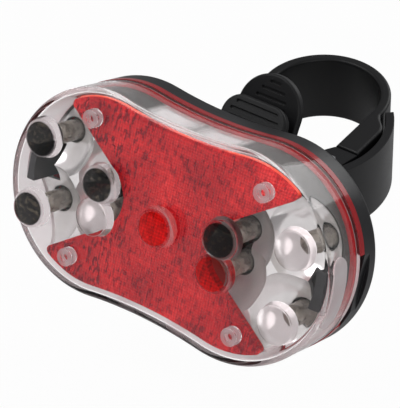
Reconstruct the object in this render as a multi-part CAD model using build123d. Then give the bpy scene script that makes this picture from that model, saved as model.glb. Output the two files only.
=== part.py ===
from build123d import *

import math
import os

# Bicycle rear light on a seat post clamp, in millimetres.
# +X runs along the light's long side, the lamp faces -Y and +Z is up.
# The origin is the centre of the clamp's bore, on the axis of the seat post.

# Seat post and how the light stands to it
post_r = 13.6
post_lean = 23.0
post_behind = 50.0
post_above = 13.6

# Outline of the light: two round lobes joined by a shallow waist
lobe_r = 24.5
lobe_x = 18.8
waist_half = 23.2

# General clearances and one overrun for all cuts
rest_gap = 0.3
slip_gap = 0.15
shaft_gap = 0.05
overrun = 2.0

# Clear front cover
cover_front = 15.6
cover_step = 0.1
cover_wall = 1.5
cover_face = 2.0
cover_edge_r = 2.5
cover_inner_r = 0.6
boss_r = 4.85
boss_top_r = 4.3
boss_side = 2.2
boss_top = 2.8
tube_out = 4.3
tube_down = 7.5
tube_r = 2.1
tube_bore_r = 0.8
tube_mark = 0.3
end_pad_half = 8.2
end_pad_up = 0.5
end_pad_rise = 0.5
end_pad_low = 8.2
end_pad_high = 13.4
end_pad_r = 2.4

# Light emitting diodes behind the bosses
inner_led_in = 2.2
inner_led_z = 4.0
outer_led_in = 9.2
outer_led_down = 15.8
led_r = 2.5
led_flange_r = 2.9
led_flange = 1.0
led_tip = 7.2
led_hole_gap = 0.4

# Red retro-reflector, shaped like a butterfly
retro = 1.6
retro_gap = 0.9
retro_inset = 2.6
retro_cut_out = 1.5
retro_cut_r = 8.4
retro_tip_in = 12.7
retro_tip_down = 6.6
retro_tip_r = 1.2
retro_peg = 1.4

# Chrome reflector with a round bowl behind each lens
bowl_r = 11.0
bowl_wall = 1.0
bowl_floor = 4.2
rim_plate = 1.0
skirt_wall = 1.0
skirt_gap = 0.4
keyhole_half = 1.7

# Red frame between the cover and the housing
frame = 1.8
frame_band = 3.0
lip = 1.1
lip_high = 2.8
pry_depth = 2.6
pry_up = 7.0
pry_down = 13.0
pry_thick = 1.3

# Rear housing with its battery box
band = 5.8
band_wall = 3.4
band_floor = 1.6
band_edge_r = 1.4
box_r = 5.0
box_wall = 1.6
box_edge_r = 2.4
groove_in = 1.1
groove_out = 2.3
groove_deep = 0.9
post_hole_z = 16.0
standoff_r = 2.3
rib = 1.2
rib_high = 2.4
hook_half = 4.4
hook_wall = 1.6
hook_high = 11.5
hook_barb = 1.0
hook_ledge = 0.9

# Circuit board and what sits on it
board_back = 2.0
board = 1.6
board_inset = 5.0
board_screw_r = 0.95
board_head_r = 1.9
board_head = 1.2
switch_half = 3.0
switch_high = 1.6

# Push button in the back of the housing
button_aside = 0.8
button_r = 5.2
button_flange_r = 6.2
button_flange = 0.5
button_hollow_r = 4.5
button_stem_r = 1.4
button_proud = 1.4
button_dome = 0.7
button_travel = 0.8
button_stop = 0.05

# Two AAA cells and their contacts
cell_r = 5.2
cell_length = 44.5
cell_nub_r = 1.9
cell_nub = 1.1
cell_part = 0.55
cell_side_gap = 0.95
cell_front_gap = 0.5
cell_back_gap = 0.1
contact_reach = 1.7
strip = 0.4
strip_half_z = 2.6
spring_foot_r = 2.5
spring_tip_r = 1.8

# Mounting shoe screwed to the back of the housing
shoe_half = 12.0
shoe = 3.4
shoe_low = 11.0
shoe_high = 11.0
shoe_corner = 3.0
rail_neck_half = 4.6
rail_head_half = 7.6
rail_head = 1.5
rail_lip = 1.3
rail_stop = 7.0
neck_half = 5.2
neck_front = 12.6
neck_back = 17.2
neck_from = 14.0
window_half = 3.2
window_low = 11.4
window_high = 13.8
shoe_screw_x = 9.9
shoe_screw_z = 7.6
shoe_screw_r = 1.0
shoe_head_r = 1.7
shoe_head = 1.1

# Grooved pads for the fingers
thumb_half = 8.6
thumb_y = 13.4
thumb_z = 17.6
thumb_high = 7.6
thumb_thick = 2.2
thumb_lean = 24.0
thumb_corner = 4.6
thumb_margin = 2.0
tongue_half = 8.4
tongue_y = 19.3
tongue_z = 13.7
tongue_high = 16.4
tongue_thick = 1.9
tongue_lean = 10.0
tongue_margin = 3.8
grip_wide = 0.7
grip_deep = 0.5
grip_step = 1.9
grip_rim_r = 0.6

# Latch lever of the bracket
lever_half = 5.4
lever_y = 20.6
lever_z = 1.5
lever_barrel_r = 2.0
lever_pin_r = 1.0
stem = 2.9
catch_half = 2.8
catch_in = 0.8
catch_high = 1.6
catch_gap = 0.2

# Bracket plate between the shoe and the clamp
plate_gap = 0.2
plate = 2.2
plate_low = 12.0
plate_high = 11.0
plate_ear = 2.5
plate_ear_r = 2.5
lug_half = 3.5
lug_r = 4.8
tilt_y = 25.4
tilt_z = -6.0
tilt_screw_r = 1.95
tilt_head_r = 3.6
tilt_head = 2.4
tilt_head_edge_r = 0.4
tilt_socket_r = 1.5
tilt_nut_r = 3.9
tilt_nut_high = 3.0
hinge_side_gap = 0.2

# Clamp: saddle, cradle arm and strap
clamp_high = 9.0
strap = 2.6
strap_edge_r = 0.7
leg_past = 8.4
shoulder_past = 6.0
shoulder_high = 9.6
shoulder_up = 6.4
shoulder_lead = 0.35
tongue_end_half = 5.4
saddle_half = 10.5
saddle_deep = 9.9
saddle_top = 0.5
saddle_pad = 1.6
pad_reach = 42.0
ear = 4.5
ear_r = 4.6
cradle_ahead = 2.1
cradle_gap = 1.4
cradle_wall = 2.0
cradle_from = -34.0
cradle_to = 39.0
cradle_top = 8.6
web = 2.4
anchor_r = 1.0
anchor_in = 1.5
anchor_up = 2.0
tail_up = 10.0
tail_past = 7.0
tail_low = 7.8
tail_high = -0.2
tooth_pitch = 1.5
tooth_deep = 0.8
tooth_slant = 0.45
tooth_up = 7.5
tooth_count = 9

# Ratchet pawl on the clamp's left side
buckle_top = 0.5
buckle_low = 8.5
buckle_plate = 2.0
buckle_side = 3.4
guide_high = 7.0
pawl_out = 7.0
pawl_up = 9.0
pawl_barrel_r = 2.2
pawl_pin_r = 1.0
pawl_reach = 6.0
pawl_tail = 6.0
pawl_thick = 1.8
pawl_low = -6.3
pawl_high = -1.7

# Torsion springs round the two hinge pins
wire_r = 0.25
coil_pitch = 0.95
coil_turns = 2
spring_leg = 4.5
spring_foot = 1.5

light_at = Location((0, -post_behind, -post_above))
clamp_at = Location((0, 0, 0), (post_lean, 0, 0))

waist_r = (lobe_x**2 + waist_half**2 - lobe_r**2) / (2 * (lobe_r - waist_half))
cover_inset = cover_step + cover_wall
retro_front = cover_front - cover_face - retro_gap
retro_back = retro_front - retro
rim_front = retro_back - rest_gap
rim_back = rim_front - rim_plate
tube_end = retro_front + slip_gap
hook_inset = frame_band + slip_gap
board_front = board_back - board
cell_apart = cell_r + cell_part
cell_back = board_back + cell_front_gap + cell_r
box_half_x = cell_length / 2 + contact_reach + strip + shaft_gap + box_wall
box_half_z = cell_apart + cell_r + cell_side_gap + box_wall
box_back = cell_back + cell_r + cell_back_gap + box_wall
outer_led_x = lobe_x + lobe_r - outer_led_in
outer_led_z = lobe_r - outer_led_down
inner_led_x = lobe_x - inner_led_in
tube_x = lobe_x + tube_out
tube_z = lobe_r - tube_down
retro_cut_x = lobe_x + retro_cut_out
retro_tip_x = lobe_x + lobe_r - retro_tip_in
retro_tip_z = lobe_r - retro_tip_down
switch_x = box_half_x + button_aside + button_r
shoulder_u = post_r + shoulder_past
cradle_r = shoulder_u + cradle_gap + cradle_wall
cradle_v = post_r - cradle_ahead
leg_end = post_r + leg_past
anchor_u = post_r + anchor_in
anchor_v = leg_end - anchor_up
saddle_front = post_r + saddle_deep
shoulder_end = leg_end - shoulder_up
shoulder_full = shoulder_end - shoulder_high
tail_from = leg_end - tail_up
tail_end = leg_end + tail_past
tooth_from = leg_end - tooth_up
guide_end = leg_end - guide_high
pawl_u = post_r + pawl_out
pawl_v = leg_end - pawl_up
pawl_nose = pawl_v + pawl_reach
buckle_out = pawl_u + buckle_side
box_inner_back = box_back - box_wall
shoe_back = box_back + shoe
plate_front = shoe_back + plate_gap
plate_back = plate_front + plate
switch_back = board_back + switch_high
led_places = [(0, 0)]
led_places += [(a * inner_led_x, b * inner_led_z) for a in (-1, 1) for b in (1, -1)]
led_places += [(a * outer_led_x, b * outer_led_z) for a in (-1, 1) for b in (1, -1)]
tube_places = [(a * tube_x, b * tube_z) for a in (-1, 1) for b in (1, -1)]


def peanut(inset=0):
    """The light's outline drawn in by an inset: four arcs that meet smoothly."""
    lobe = lobe_r - inset
    waist = waist_r + inset
    reach = waist_half + waist_r
    part_way = lobe / (lobe + waist)
    x, z = lobe_x * (1 - part_way), reach * part_way
    arcs = [
        ThreePointArc((x, -z), (lobe_x + lobe, 0), (x, z)),
        ThreePointArc((x, z), (0, reach - waist), (-x, z)),
        ThreePointArc((-x, z), (-lobe_x - lobe, 0), (-x, -z)),
        ThreePointArc((-x, -z), (0, waist - reach), (x, -z)),
    ]
    return make_face(arcs)


def slab(outline, near, far):
    """Thickens an X-Z outline between two distances ahead of the seam (minus is behind it)."""
    return extrude(Plane.XZ.offset(near) * outline, far - near)


def spots(places, radius):
    """Round discs at a list of X-Z places."""
    return Sketch() + [Location((x, z)) * Circle(radius) for x, z in places]


def box_between(low, high):
    """A block from its low corner to its high corner."""
    size = [b - a for a, b in zip(low, high)]
    middle = [(a + b) / 2 for a, b in zip(low, high)]
    return Location(tuple(middle)) * Box(*size)


def domed_post(radius, foot, rim, top, foot_r=None):
    """A round post along Y ending in a dome, by distances ahead of the seam; its foot may be wider."""
    rise = top - rim
    ball = (radius**2 + rise**2) / (2 * rise)
    half = radius / 2
    crest = top - ball + math.sqrt(ball**2 - half**2)
    wide = foot_r or radius
    section = make_face(
        [
            Line((0, -foot), (wide, -foot)),
            Line((wide, -foot), (radius, -rim)),
            ThreePointArc((radius, -rim), (half, -crest), (0, -top)),
            Line((0, -top), (0, -foot)),
        ]
    )
    return revolve(section, Axis.Y)


def rod_x(radius, x_from, x_to, y, z):
    """A round rod along X."""
    return extrude(Plane.YZ.offset(x_from) * Location((y, z)) * Circle(radius), x_to - x_from)


def rod_w(radius, u, v, low, high):
    """A round rod along the seat post, in the clamp's own frame."""
    return Location((u, v, (low + high) / 2)) * Cylinder(radius, high - low)


def rounded_tab(half, high, corner):
    """A tab outline that stands on its straight foot, with rounded upper corners."""
    middle = high - corner
    tab = Location((0, middle / 2)) * Rectangle(2 * half, middle)
    tab += Location((0, middle)) * Rectangle(2 * (half - corner), 2 * corner)
    tab += [Location((side * (half - corner), middle)) * Circle(corner) for side in (-1, 1)]
    return tab - Location((0, -high)) * Rectangle(4 * half, 2 * high)


def grooved_pad(plane, outline, thick, widths):
    """A finger pad cut from an outline on a leaning plane; its grooves are (height, width) pairs."""
    pad = extrude(plane * outline, -thick)
    rim = pad.faces().sort_by(Axis(plane.origin, plane.z_dir))[-1].edges()
    pad = fillet(rim, grip_rim_r)
    for height, width in widths:
        pad -= extrude(plane * Location((0, height)) * SlotOverall(width, grip_wide), -grip_deep)
    return pad


def grip_rows(half, high, corner, rows, margin):
    """Heights and widths of grooves that follow a tab's rounded top, counted down from it."""
    grooves = []
    for row in range(1, rows + 1):
        height = high - row * grip_step
        above = max(0, height - (high - corner))
        grooves.append((height, 2 * (half - corner + math.sqrt(corner**2 - above**2) - margin)))
    return grooves


def end_pad():
    """Raised pad on the cover's right end, following the wall's curve."""
    band = slab(peanut(cover_step - end_pad_rise) - peanut(cover_inset), end_pad_low, end_pad_high)
    centre = Location((-(end_pad_low + end_pad_high) / 2, end_pad_up))
    face = centre * RectangleRounded(end_pad_high - end_pad_low, 2 * end_pad_half, end_pad_r)
    return band & extrude(Plane.YZ.offset(lobe_x) * face, 2 * lobe_r)


def hook_ledges():
    """Ledges inside the cover's two ends that the housing's hooks catch behind."""
    high = hook_high - hook_barb - rest_gap
    ring = peanut(cover_inset - slip_gap) - peanut(hook_inset - slip_gap)
    ends = Rectangle(2 * (lobe_x + lobe_r), 2 * hook_half) - Rectangle(2 * lobe_x, 2 * lobe_r)
    return slab(ring & ends, high - hook_ledge, high)


def front_cover():
    """Clear cover: rounded front edge, nine lens bosses, four tubes, end pad and ledges."""
    skin = slab(peanut(cover_step), frame, cover_front)
    skin = fillet(skin.faces().sort_by(Axis.Y)[0].edges(), cover_edge_r)
    hollow = slab(peanut(cover_inset), frame - overrun, cover_front - cover_face)
    hollow = fillet(hollow.faces().sort_by(Axis.Y)[0].edges(), cover_inner_r)
    cover = skin - hollow + end_pad() + hook_ledges()
    boss = domed_post(boss_top_r, cover_front, cover_front + boss_side, cover_front + boss_top, boss_r)
    for x, z in led_places:
        cover += Location((x, 0, z)) * boss
    cover += slab(spots(tube_places, tube_r), tube_end, cover_front + tube_mark)
    bore_end = retro_front + retro_peg + slip_gap
    return cover - slab(spots(tube_places, tube_bore_r), tube_end - overrun, bore_end)


def butterfly_gap(side):
    """The wedge with a round bottom that bares one lobe of the retro-reflector."""
    reach = math.hypot(retro_tip_x - retro_cut_x, retro_tip_z)
    bearing = math.atan2(retro_tip_z, retro_tip_x - retro_cut_x) + math.acos(retro_cut_r / reach)
    tx = retro_cut_x + retro_cut_r * math.cos(bearing)
    tz = retro_cut_r * math.sin(bearing)
    far_x, far_z = 2 * retro_tip_x - tx, 2 * retro_tip_z - tz
    corners = [(tx, tz), (far_x, far_z), (far_x, -far_z), (tx, -tz)]
    wedge = make_face(Polyline(*[(side * x, z) for x, z in corners], close=True))
    return wedge + Location((side * retro_cut_x, 0)) * Circle(retro_cut_r)


def red_reflector():
    """Red retro-reflector plate with its four tips and the pegs that sit in the tubes."""
    shape = peanut(retro_inset)
    for side in (-1, 1):
        shape -= butterfly_gap(side)
    tips = shape.vertices().sort_by(lambda corner: abs(corner.X))[-4:]
    shape = fillet(tips, retro_tip_r)
    pegs = spots(tube_places, tube_bore_r - shaft_gap)
    return slab(shape, retro_back, retro_front) + slab(pegs, retro_front, retro_front + retro_peg)


def chrome_reflector():
    """Chromed plate and skirt with a thin spherical bowl behind each of the eight outer lenses."""
    outer = peanut(retro_inset)
    skirt_end = lip_high + skirt_gap
    body = slab(outer, rim_back, rim_front)
    body += slab(outer - peanut(retro_inset + skirt_wall), skirt_end, rim_front)
    room = slab(outer, bowl_floor - bowl_wall, rim_front)
    bowls = [Location((x, -bowl_floor - bowl_r, z)) for x, z in led_places[1:]]
    body += room & (Part() + [place * Sphere(bowl_r + bowl_wall) for place in bowls])
    body -= Part() + [place * Sphere(bowl_r) for place in bowls]
    holes = spots(led_places, led_r + led_hole_gap)
    for side in (-1, 1):
        holes += Location((side * inner_led_x, 0)) * Rectangle(2 * keyhole_half, 2 * inner_led_z)
        outer_end = lobe_x + lobe_r
        slot_from = outer_led_x + led_r / 2
        middle = side * (slot_from + outer_end) / 2
        holes += Location((middle, 0)) * Rectangle(outer_end - slot_from, 2 * hook_half + 2 * rest_gap)
    return body - slab(holes, bowl_floor - 2 * bowl_wall, rim_front + overrun)


def led(x, z):
    """One five millimetre diode with its flange."""
    body = domed_post(led_r, -board_front, led_tip - led_r, led_tip)
    body += slab(Circle(led_flange_r), -board_front, led_flange - board_front)
    return Location((x, 0, z)) * body


def pry_slot():
    """Space for a coin at the right end, where the cover is levered off."""
    end = lobe_x + lobe_r
    low = (end - pry_depth, -frame - overrun, -pry_down)
    high = (end + overrun, pry_thick, pry_up)
    return box_between(low, high)


def red_frame():
    """Red frame with an upright lip inside the cover."""
    lip_inset = cover_inset + slip_gap
    body = slab(peanut() - peanut(frame_band), 0, frame)
    body -= pry_slot()
    return body + slab(peanut(lip_inset) - peanut(lip_inset + lip), 0, lip_high)


def housing_gasket():
    """Rubber gasket in the groove of the housing."""
    ring = peanut(groove_in + shaft_gap) - peanut(groove_out - shaft_gap)
    return slab(ring, shaft_gap - groove_deep, 0)


def battery_outline(inset=0):
    return RectangleRounded(2 * (box_half_x - inset), 2 * (box_half_z - inset), box_r - inset)


def cover_hooks(root):
    """Two curved hooks with tapered barbs that reach forward to the cover's ledges."""
    ends = Rectangle(2 * (lobe_x + lobe_r), 2 * hook_half) - Rectangle(2 * lobe_x, 2 * lobe_r)
    wall = peanut(hook_inset) - peanut(hook_inset + hook_wall)
    barb = peanut(hook_inset - hook_barb) - peanut(hook_inset + hook_wall)
    hooks = slab(wall & ends, -root, hook_high)
    tips = slab(barb & ends, hook_high - hook_barb, hook_high)
    out = lobe_x + lobe_r - hook_inset
    for side in (-1, 1):
        corners = [(out, -hook_high), (out + hook_barb, hook_barb - hook_high), (out + overrun, -hook_high)]
        corner = make_face(Polyline(*[(side * x, y) for x, y in corners], close=True))
        tips -= extrude(corner, hook_half + overrun, both=True)
    return hooks + tips


def rear_housing():
    """Black rear housing: shallow band, battery box, gasket groove, stand-offs and ribs."""
    body = slab(peanut(), -band, 0)
    body = fillet(body.faces().sort_by(Axis.Y)[-1].edges(), band_edge_r)
    box = slab(battery_outline(), -box_back, -band / 2)
    box = fillet(box.faces().sort_by(Axis.Y)[-1].edges(), box_edge_r)
    body += box
    floor = band - band_floor
    body -= slab(peanut(band_wall), -floor, overrun)
    body -= slab(battery_outline(box_wall), -box_inner_back, overrun)
    body -= slab(peanut(groove_in) - peanut(groove_out), -groove_deep, overrun)
    for side in (-1, 1):
        post = Location((0, side * post_hole_z)) * Circle(standoff_r)
        pilot = Location((0, side * post_hole_z)) * Circle(board_screw_r + shaft_gap)
        body += slab(post, -floor - band_floor / 2, -board_back)
        body -= slab(pilot, -floor, -board_back + overrun)
        cradle = Location((side * box_half_x / 2, 0)) * Rectangle(rib, 2 * (box_half_z - box_wall))
        ridge = slab(cradle, -box_inner_back - box_wall / 2, rib_high - box_inner_back)
        for row in (-1, 1):
            ridge -= rod_x(cell_r + slip_gap, -box_half_x, box_half_x, cell_back, row * cell_apart)
        body += ridge
    pilots = spots(shoe_screw_places(), shoe_screw_r + shaft_gap)
    body -= slab(pilots, -box_back - overrun, -box_inner_back)
    body -= slab(spots([(switch_x, 0)], button_r + shaft_gap), -band - overrun, -floor + overrun)
    body += cover_hooks(floor + band_floor / 2)
    coin_gap = groove_deep + pry_thick
    body -= box_between(
        (lobe_x + lobe_r - groove_in + slip_gap, -overrun, -pry_down),
        (lobe_x + lobe_r + overrun, coin_gap, pry_up),
    )
    return body


def led_board():
    """Circuit board that carries the diodes and the switch."""
    shape = peanut(board_inset + slip_gap)
    shape -= spots([(0, side * post_hole_z) for side in (-1, 1)], board_screw_r + slip_gap)
    return slab(shape, -board_back, -board_front)


def board_screws():
    """Two screws that hold the board to the stand-offs."""
    group = Part()
    reach = band - band_floor
    for side in (-1, 1):
        place = Location((0, side * post_hole_z))
        head = slab(place * Circle(board_head_r), -board_front, board_head - board_front)
        group += head + slab(place * Circle(board_screw_r), -reach, -board_front)
    return group


def tact_switch():
    """Low tactile switch on the back of the board."""
    low = (switch_x - switch_half, board_back, -switch_half)
    high = (switch_x + switch_half, switch_back - switch_high / 4, switch_half)
    cap = slab(spots([(switch_x, 0)], switch_half / 2), -switch_back, -board_back - switch_high / 2)
    return box_between(low, high) + cap


def power_button():
    """Rubber push button with its flange inside the housing and a stem over the switch."""
    floor = band - band_floor
    outer = band + button_proud
    reach = switch_back + button_travel + button_stop
    flange = floor - shaft_gap
    button = Rot(0, 0, 180) * domed_post(button_r, flange - button_flange, outer - button_dome, outer)
    button += slab(Circle(button_flange_r), -flange, button_flange - flange)
    button -= slab(Circle(button_hollow_r), -floor - button_dome / 2, overrun - floor)
    button += slab(Circle(button_stem_r), -floor - button_dome, -reach)
    return Location((switch_x, 0, 0)) * button


def cell(row):
    """One AAA cell with its nub, lying along X."""
    z = row * cell_apart
    half = cell_length / 2
    can = rod_x(cell_r, -half, half - cell_nub, cell_back, z)
    can += rod_x(cell_nub_r, half - 2 * cell_nub, half, cell_back, z)
    return can if row > 0 else Location((0, 2 * cell_back, 0)) * Rot(0, 0, 180) * can


def contact(end, spring_row):
    """Contact strip at one end of the cells, with a cone spring and a flat bump."""
    wall_x = box_half_x - box_wall - shaft_gap
    inner = wall_x - strip
    gap = inner - cell_length / 2
    low_z, high_z = -cell_apart - strip_half_z, cell_apart + strip_half_z
    depth = cell_back + strip_half_z
    body = box_between((inner, cell_back - strip_half_z, low_z), (wall_x, depth, high_z))
    at_spring = Plane((inner, cell_back, spring_row * cell_apart), x_dir=(0, 1, 0), z_dir=(-1, 0, 0))
    at_bump = Plane((inner, cell_back, -spring_row * cell_apart), x_dir=(0, 1, 0), z_dir=(-1, 0, 0))
    foot, tip = Circle(spring_foot_r), Circle(spring_tip_r)
    body += loft([at_spring * foot, at_spring.offset(gap - shaft_gap) * tip])
    body += extrude(at_bump * tip, gap - shaft_gap)
    return body if end > 0 else mirror(body, Plane.YZ)


def shoe_screw_places():
    return [(a * shoe_screw_x, b * shoe_screw_z) for a in (-1, 1) for b in (-1, 1)]


def thumb_plane():
    lean = math.radians(thumb_lean)
    return Plane((0, thumb_y, thumb_z), x_dir=(1, 0, 0), z_dir=(0, -math.cos(lean), math.sin(lean)))


def mounting_shoe():
    """Shoe with a T-slot open below, a neck with the catch window and a grooved thumb pad."""
    middle_z = (shoe_high - shoe_low) / 2
    face = Location((0, middle_z)) * RectangleRounded(2 * shoe_half, shoe_low + shoe_high, shoe_corner)
    body = slab(face, -shoe_back, -box_back)
    neck_top = thumb_z + thumb_thick
    body += box_between((-neck_half, box_back, shoe_high / 2), (neck_half, neck_back, neck_top))
    body += box_between((-neck_half, neck_front, neck_from), (neck_half, neck_back, neck_top))
    rows = grip_rows(thumb_half, thumb_high, thumb_corner, 3, thumb_margin)
    body += grooved_pad(thumb_plane(), rounded_tab(thumb_half, thumb_high, thumb_corner), thumb_thick, rows)
    lip_from = shoe_back - rail_lip
    low = -shoe_low - overrun
    neck = rail_neck_half + rest_gap / 2
    head = rail_head_half + rest_gap / 2
    head_from = lip_from - rail_head - rest_gap
    behind = shoe_back + overrun
    body -= box_between((-neck, head_from, low), (neck, behind, rail_stop))
    body -= box_between((-head, head_from, low), (head, lip_from, rail_stop))
    body -= box_between((-window_half, lip_from - overrun, window_low), (window_half, behind, window_high))
    body -= slab(spots(shoe_screw_places(), shoe_screw_r + slip_gap), -behind, overrun - box_back)
    return body - slab(spots(shoe_screw_places(), shoe_head_r + slip_gap), -behind, shoe_head - shoe_back)


def shoe_screws():
    """Four sunk screws of the mounting shoe."""
    group = Part()
    for x, z in shoe_screw_places():
        place = Location((x, z))
        head = slab(place * Circle(shoe_head_r), -shoe_back, shoe_head - shoe_back)
        group += head + slab(place * Circle(shoe_screw_r), shoe_head - shoe_back, -box_inner_back)
    return group


def bracket_plate():
    """Plate with a T-rail in front, the latch's ears and the tilt lug behind."""
    half = shoe_half
    outline = RectangleRounded(2 * half, plate_high + plate_low, shoe_corner)
    body = slab(Location((0, (plate_high - plate_low) / 2)) * outline, -plate_back, -plate_front)
    lip_from = shoe_back - rail_lip
    top = rail_stop - rest_gap
    head_from = lip_from - rail_head - rest_gap / 2
    body += box_between((-rail_neck_half, head_from, -shoe_low), (rail_neck_half, plate_back, top))
    body += box_between((-rail_head_half, head_from, -shoe_low), (rail_head_half, head_from + rail_head, top))
    ear_in = lever_half + hinge_side_gap
    for side in (-1, 1):
        a, b = sorted((side * ear_in, side * (ear_in + plate_ear)))
        body += rod_x(plate_ear_r, a, b, lever_y, lever_z)
        body += box_between((a, plate_front, lever_z - plate_ear_r), (b, lever_y, lever_z + plate_ear_r))
    window_base = lever_z - lever_barrel_r - rest_gap
    opening = (ear_in, plate_back + 2 * overrun, plate_high + overrun)
    body -= box_between((-ear_in, shoe_back - overrun, window_base), opening)
    lug = rod_x(lug_r, -lug_half, lug_half, tilt_y, tilt_z)
    lug += box_between((-lug_half, plate_front, tilt_z - lug_r), (lug_half, tilt_y, tilt_z + lug_r))
    body += lug
    body -= rod_x(tilt_screw_r + shaft_gap, -half, half, tilt_y, tilt_z)
    body -= rod_x(lever_pin_r + shaft_gap, -half, half, lever_y, lever_z)
    return body


def tongue_plane():
    lean = math.radians(tongue_lean)
    return Plane((0, tongue_y, tongue_z), x_dir=(1, 0, 0), z_dir=(0, -math.cos(lean), math.sin(lean)))


def latch_lever():
    """Sprung latch lever: barrel, stem with the catch and a broad grooved tongue."""
    body = rod_x(lever_barrel_r, -lever_half, lever_half, lever_y, lever_z)
    stem_front = lever_y - lever_barrel_r
    stem_top = tongue_z + tongue_half / 2
    body += box_between((-lever_half, stem_front, lever_z), (lever_half, stem_front + stem, stem_top))
    straight = tongue_high - tongue_half
    shape = Location((0, straight / 2)) * Rectangle(2 * tongue_half, straight)
    shape += Location((0, straight)) * Circle(tongue_half)
    shape -= Location((0, -tongue_half)) * Rectangle(4 * tongue_half, 2 * tongue_half)
    rows = grip_rows(tongue_half, tongue_high, tongue_half, 5, tongue_margin)
    body += grooved_pad(tongue_plane(), shape, tongue_thick, rows)
    catch_low = window_low + catch_gap
    tip = shoe_back - catch_in
    profile = Polyline(
        (stem_front + stem / 2, catch_low),
        (tip, catch_low),
        (tip, catch_low + catch_high / 2),
        (stem_front + stem / 2, catch_low + catch_high),
        close=True,
    )
    body += extrude(Plane.YZ * make_face(profile), catch_half, both=True)
    body -= rod_x(lever_pin_r + shaft_gap, -shoe_half, shoe_half, lever_y, lever_z)
    half = coil_room() / 2
    return body - rod_x(lever_barrel_r + slip_gap, -half, half, lever_y, lever_z)


def lever_pin():
    reach = lever_half + hinge_side_gap + plate_ear
    return rod_x(lever_pin_r, -reach, reach, lever_y, lever_z)


def tilt_screw():
    """Cap screw of the tilt pivot with a hexagon socket."""
    reach = lug_half + hinge_side_gap + ear
    body = rod_x(tilt_screw_r, -reach - tilt_nut_high, reach, tilt_y, tilt_z)
    head = rod_x(tilt_head_r, reach, reach + tilt_head, tilt_y, tilt_z)
    body += fillet(head.faces().sort_by(Axis.X)[-1].edges(), tilt_head_edge_r)
    at_socket = Plane.YZ.offset(reach + tilt_head / 3) * Location((tilt_y, tilt_z))
    return body - extrude(at_socket * RegularPolygon(tilt_socket_r, 6), tilt_head)


def tilt_nut():
    """Hexagon nut on the left end of the tilt screw."""
    reach = lug_half + hinge_side_gap + ear
    end = -reach - tilt_nut_high
    face = Plane.YZ.offset(end) * Location((tilt_y, tilt_z)) * RegularPolygon(tilt_nut_r, 6)
    bore = rod_x(tilt_screw_r + shaft_gap, end - overrun, overrun - reach, tilt_y, tilt_z)
    return extrude(face, tilt_nut_high) - bore


def tilt_in_clamp():
    """The tilt axis as seen in the clamp's own frame."""
    dy, dz = tilt_y - post_behind, tilt_z - post_above
    lean = math.radians(post_lean)
    v = dy * math.cos(lean) + dz * math.sin(lean)
    w = dz * math.cos(lean) - dy * math.sin(lean)
    return v, w


def cradle_sector():
    """The curved arm that wraps the strap's right leg, as an outline seen along the post."""
    start, stop = math.radians(cradle_from), math.radians(cradle_to)

    def at(radius, angle):
        return (radius * math.cos(angle), radius * math.sin(angle) - cradle_v)

    inner = cradle_r - cradle_wall
    middle = (start + stop) / 2
    return make_face(
        [
            ThreePointArc(at(cradle_r, start), at(cradle_r, middle), at(cradle_r, stop)),
            Line(at(cradle_r, stop), at(inner, stop)),
            ThreePointArc(at(inner, stop), at(inner, middle), at(inner, start)),
            Line(at(inner, start), at(cradle_r, start)),
        ]
    )


def prism(outline, low, high):
    """Raises an outline along the seat post between two heights."""
    return extrude(Plane.XY.offset(low) * outline, high - low)


def pawl_buckle():
    """Slotted plate, strap guide and two cheeks that hold the ratchet pawl."""
    front = -leg_end - rest_gap - web
    inner, outer = -post_r + slip_gap, -post_r - strap - tooth_deep - rest_gap
    low = -buckle_low
    body = box_between((-buckle_out, front, low), (-saddle_half + web, front + web, buckle_top))
    body += box_between((inner, front, low), (-saddle_half + web, -guide_end, buckle_top))
    cheek = Polyline(
        (outer, front + web / 2),
        (outer, -pawl_v + web / 2),
        (-pawl_u + pawl_pin_r, -pawl_v + web),
        (-pawl_u - pawl_pin_r, -pawl_v + web),
        (-buckle_out, -pawl_v),
        (-buckle_out, front + web / 2),
        close=True,
    )
    for a, b in ((low, low + buckle_plate), (buckle_top - buckle_plate, buckle_top)):
        body += prism(make_face(cheek), a, b)
    slot_low = (outer, front - overrun, -tail_low - slip_gap)
    body -= box_between(slot_low, (inner, front + web + overrun, tail_high + slip_gap))
    return body - rod_w(pawl_pin_r + shaft_gap, -pawl_u, -pawl_v, low - overrun, buckle_top + overrun)


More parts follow.
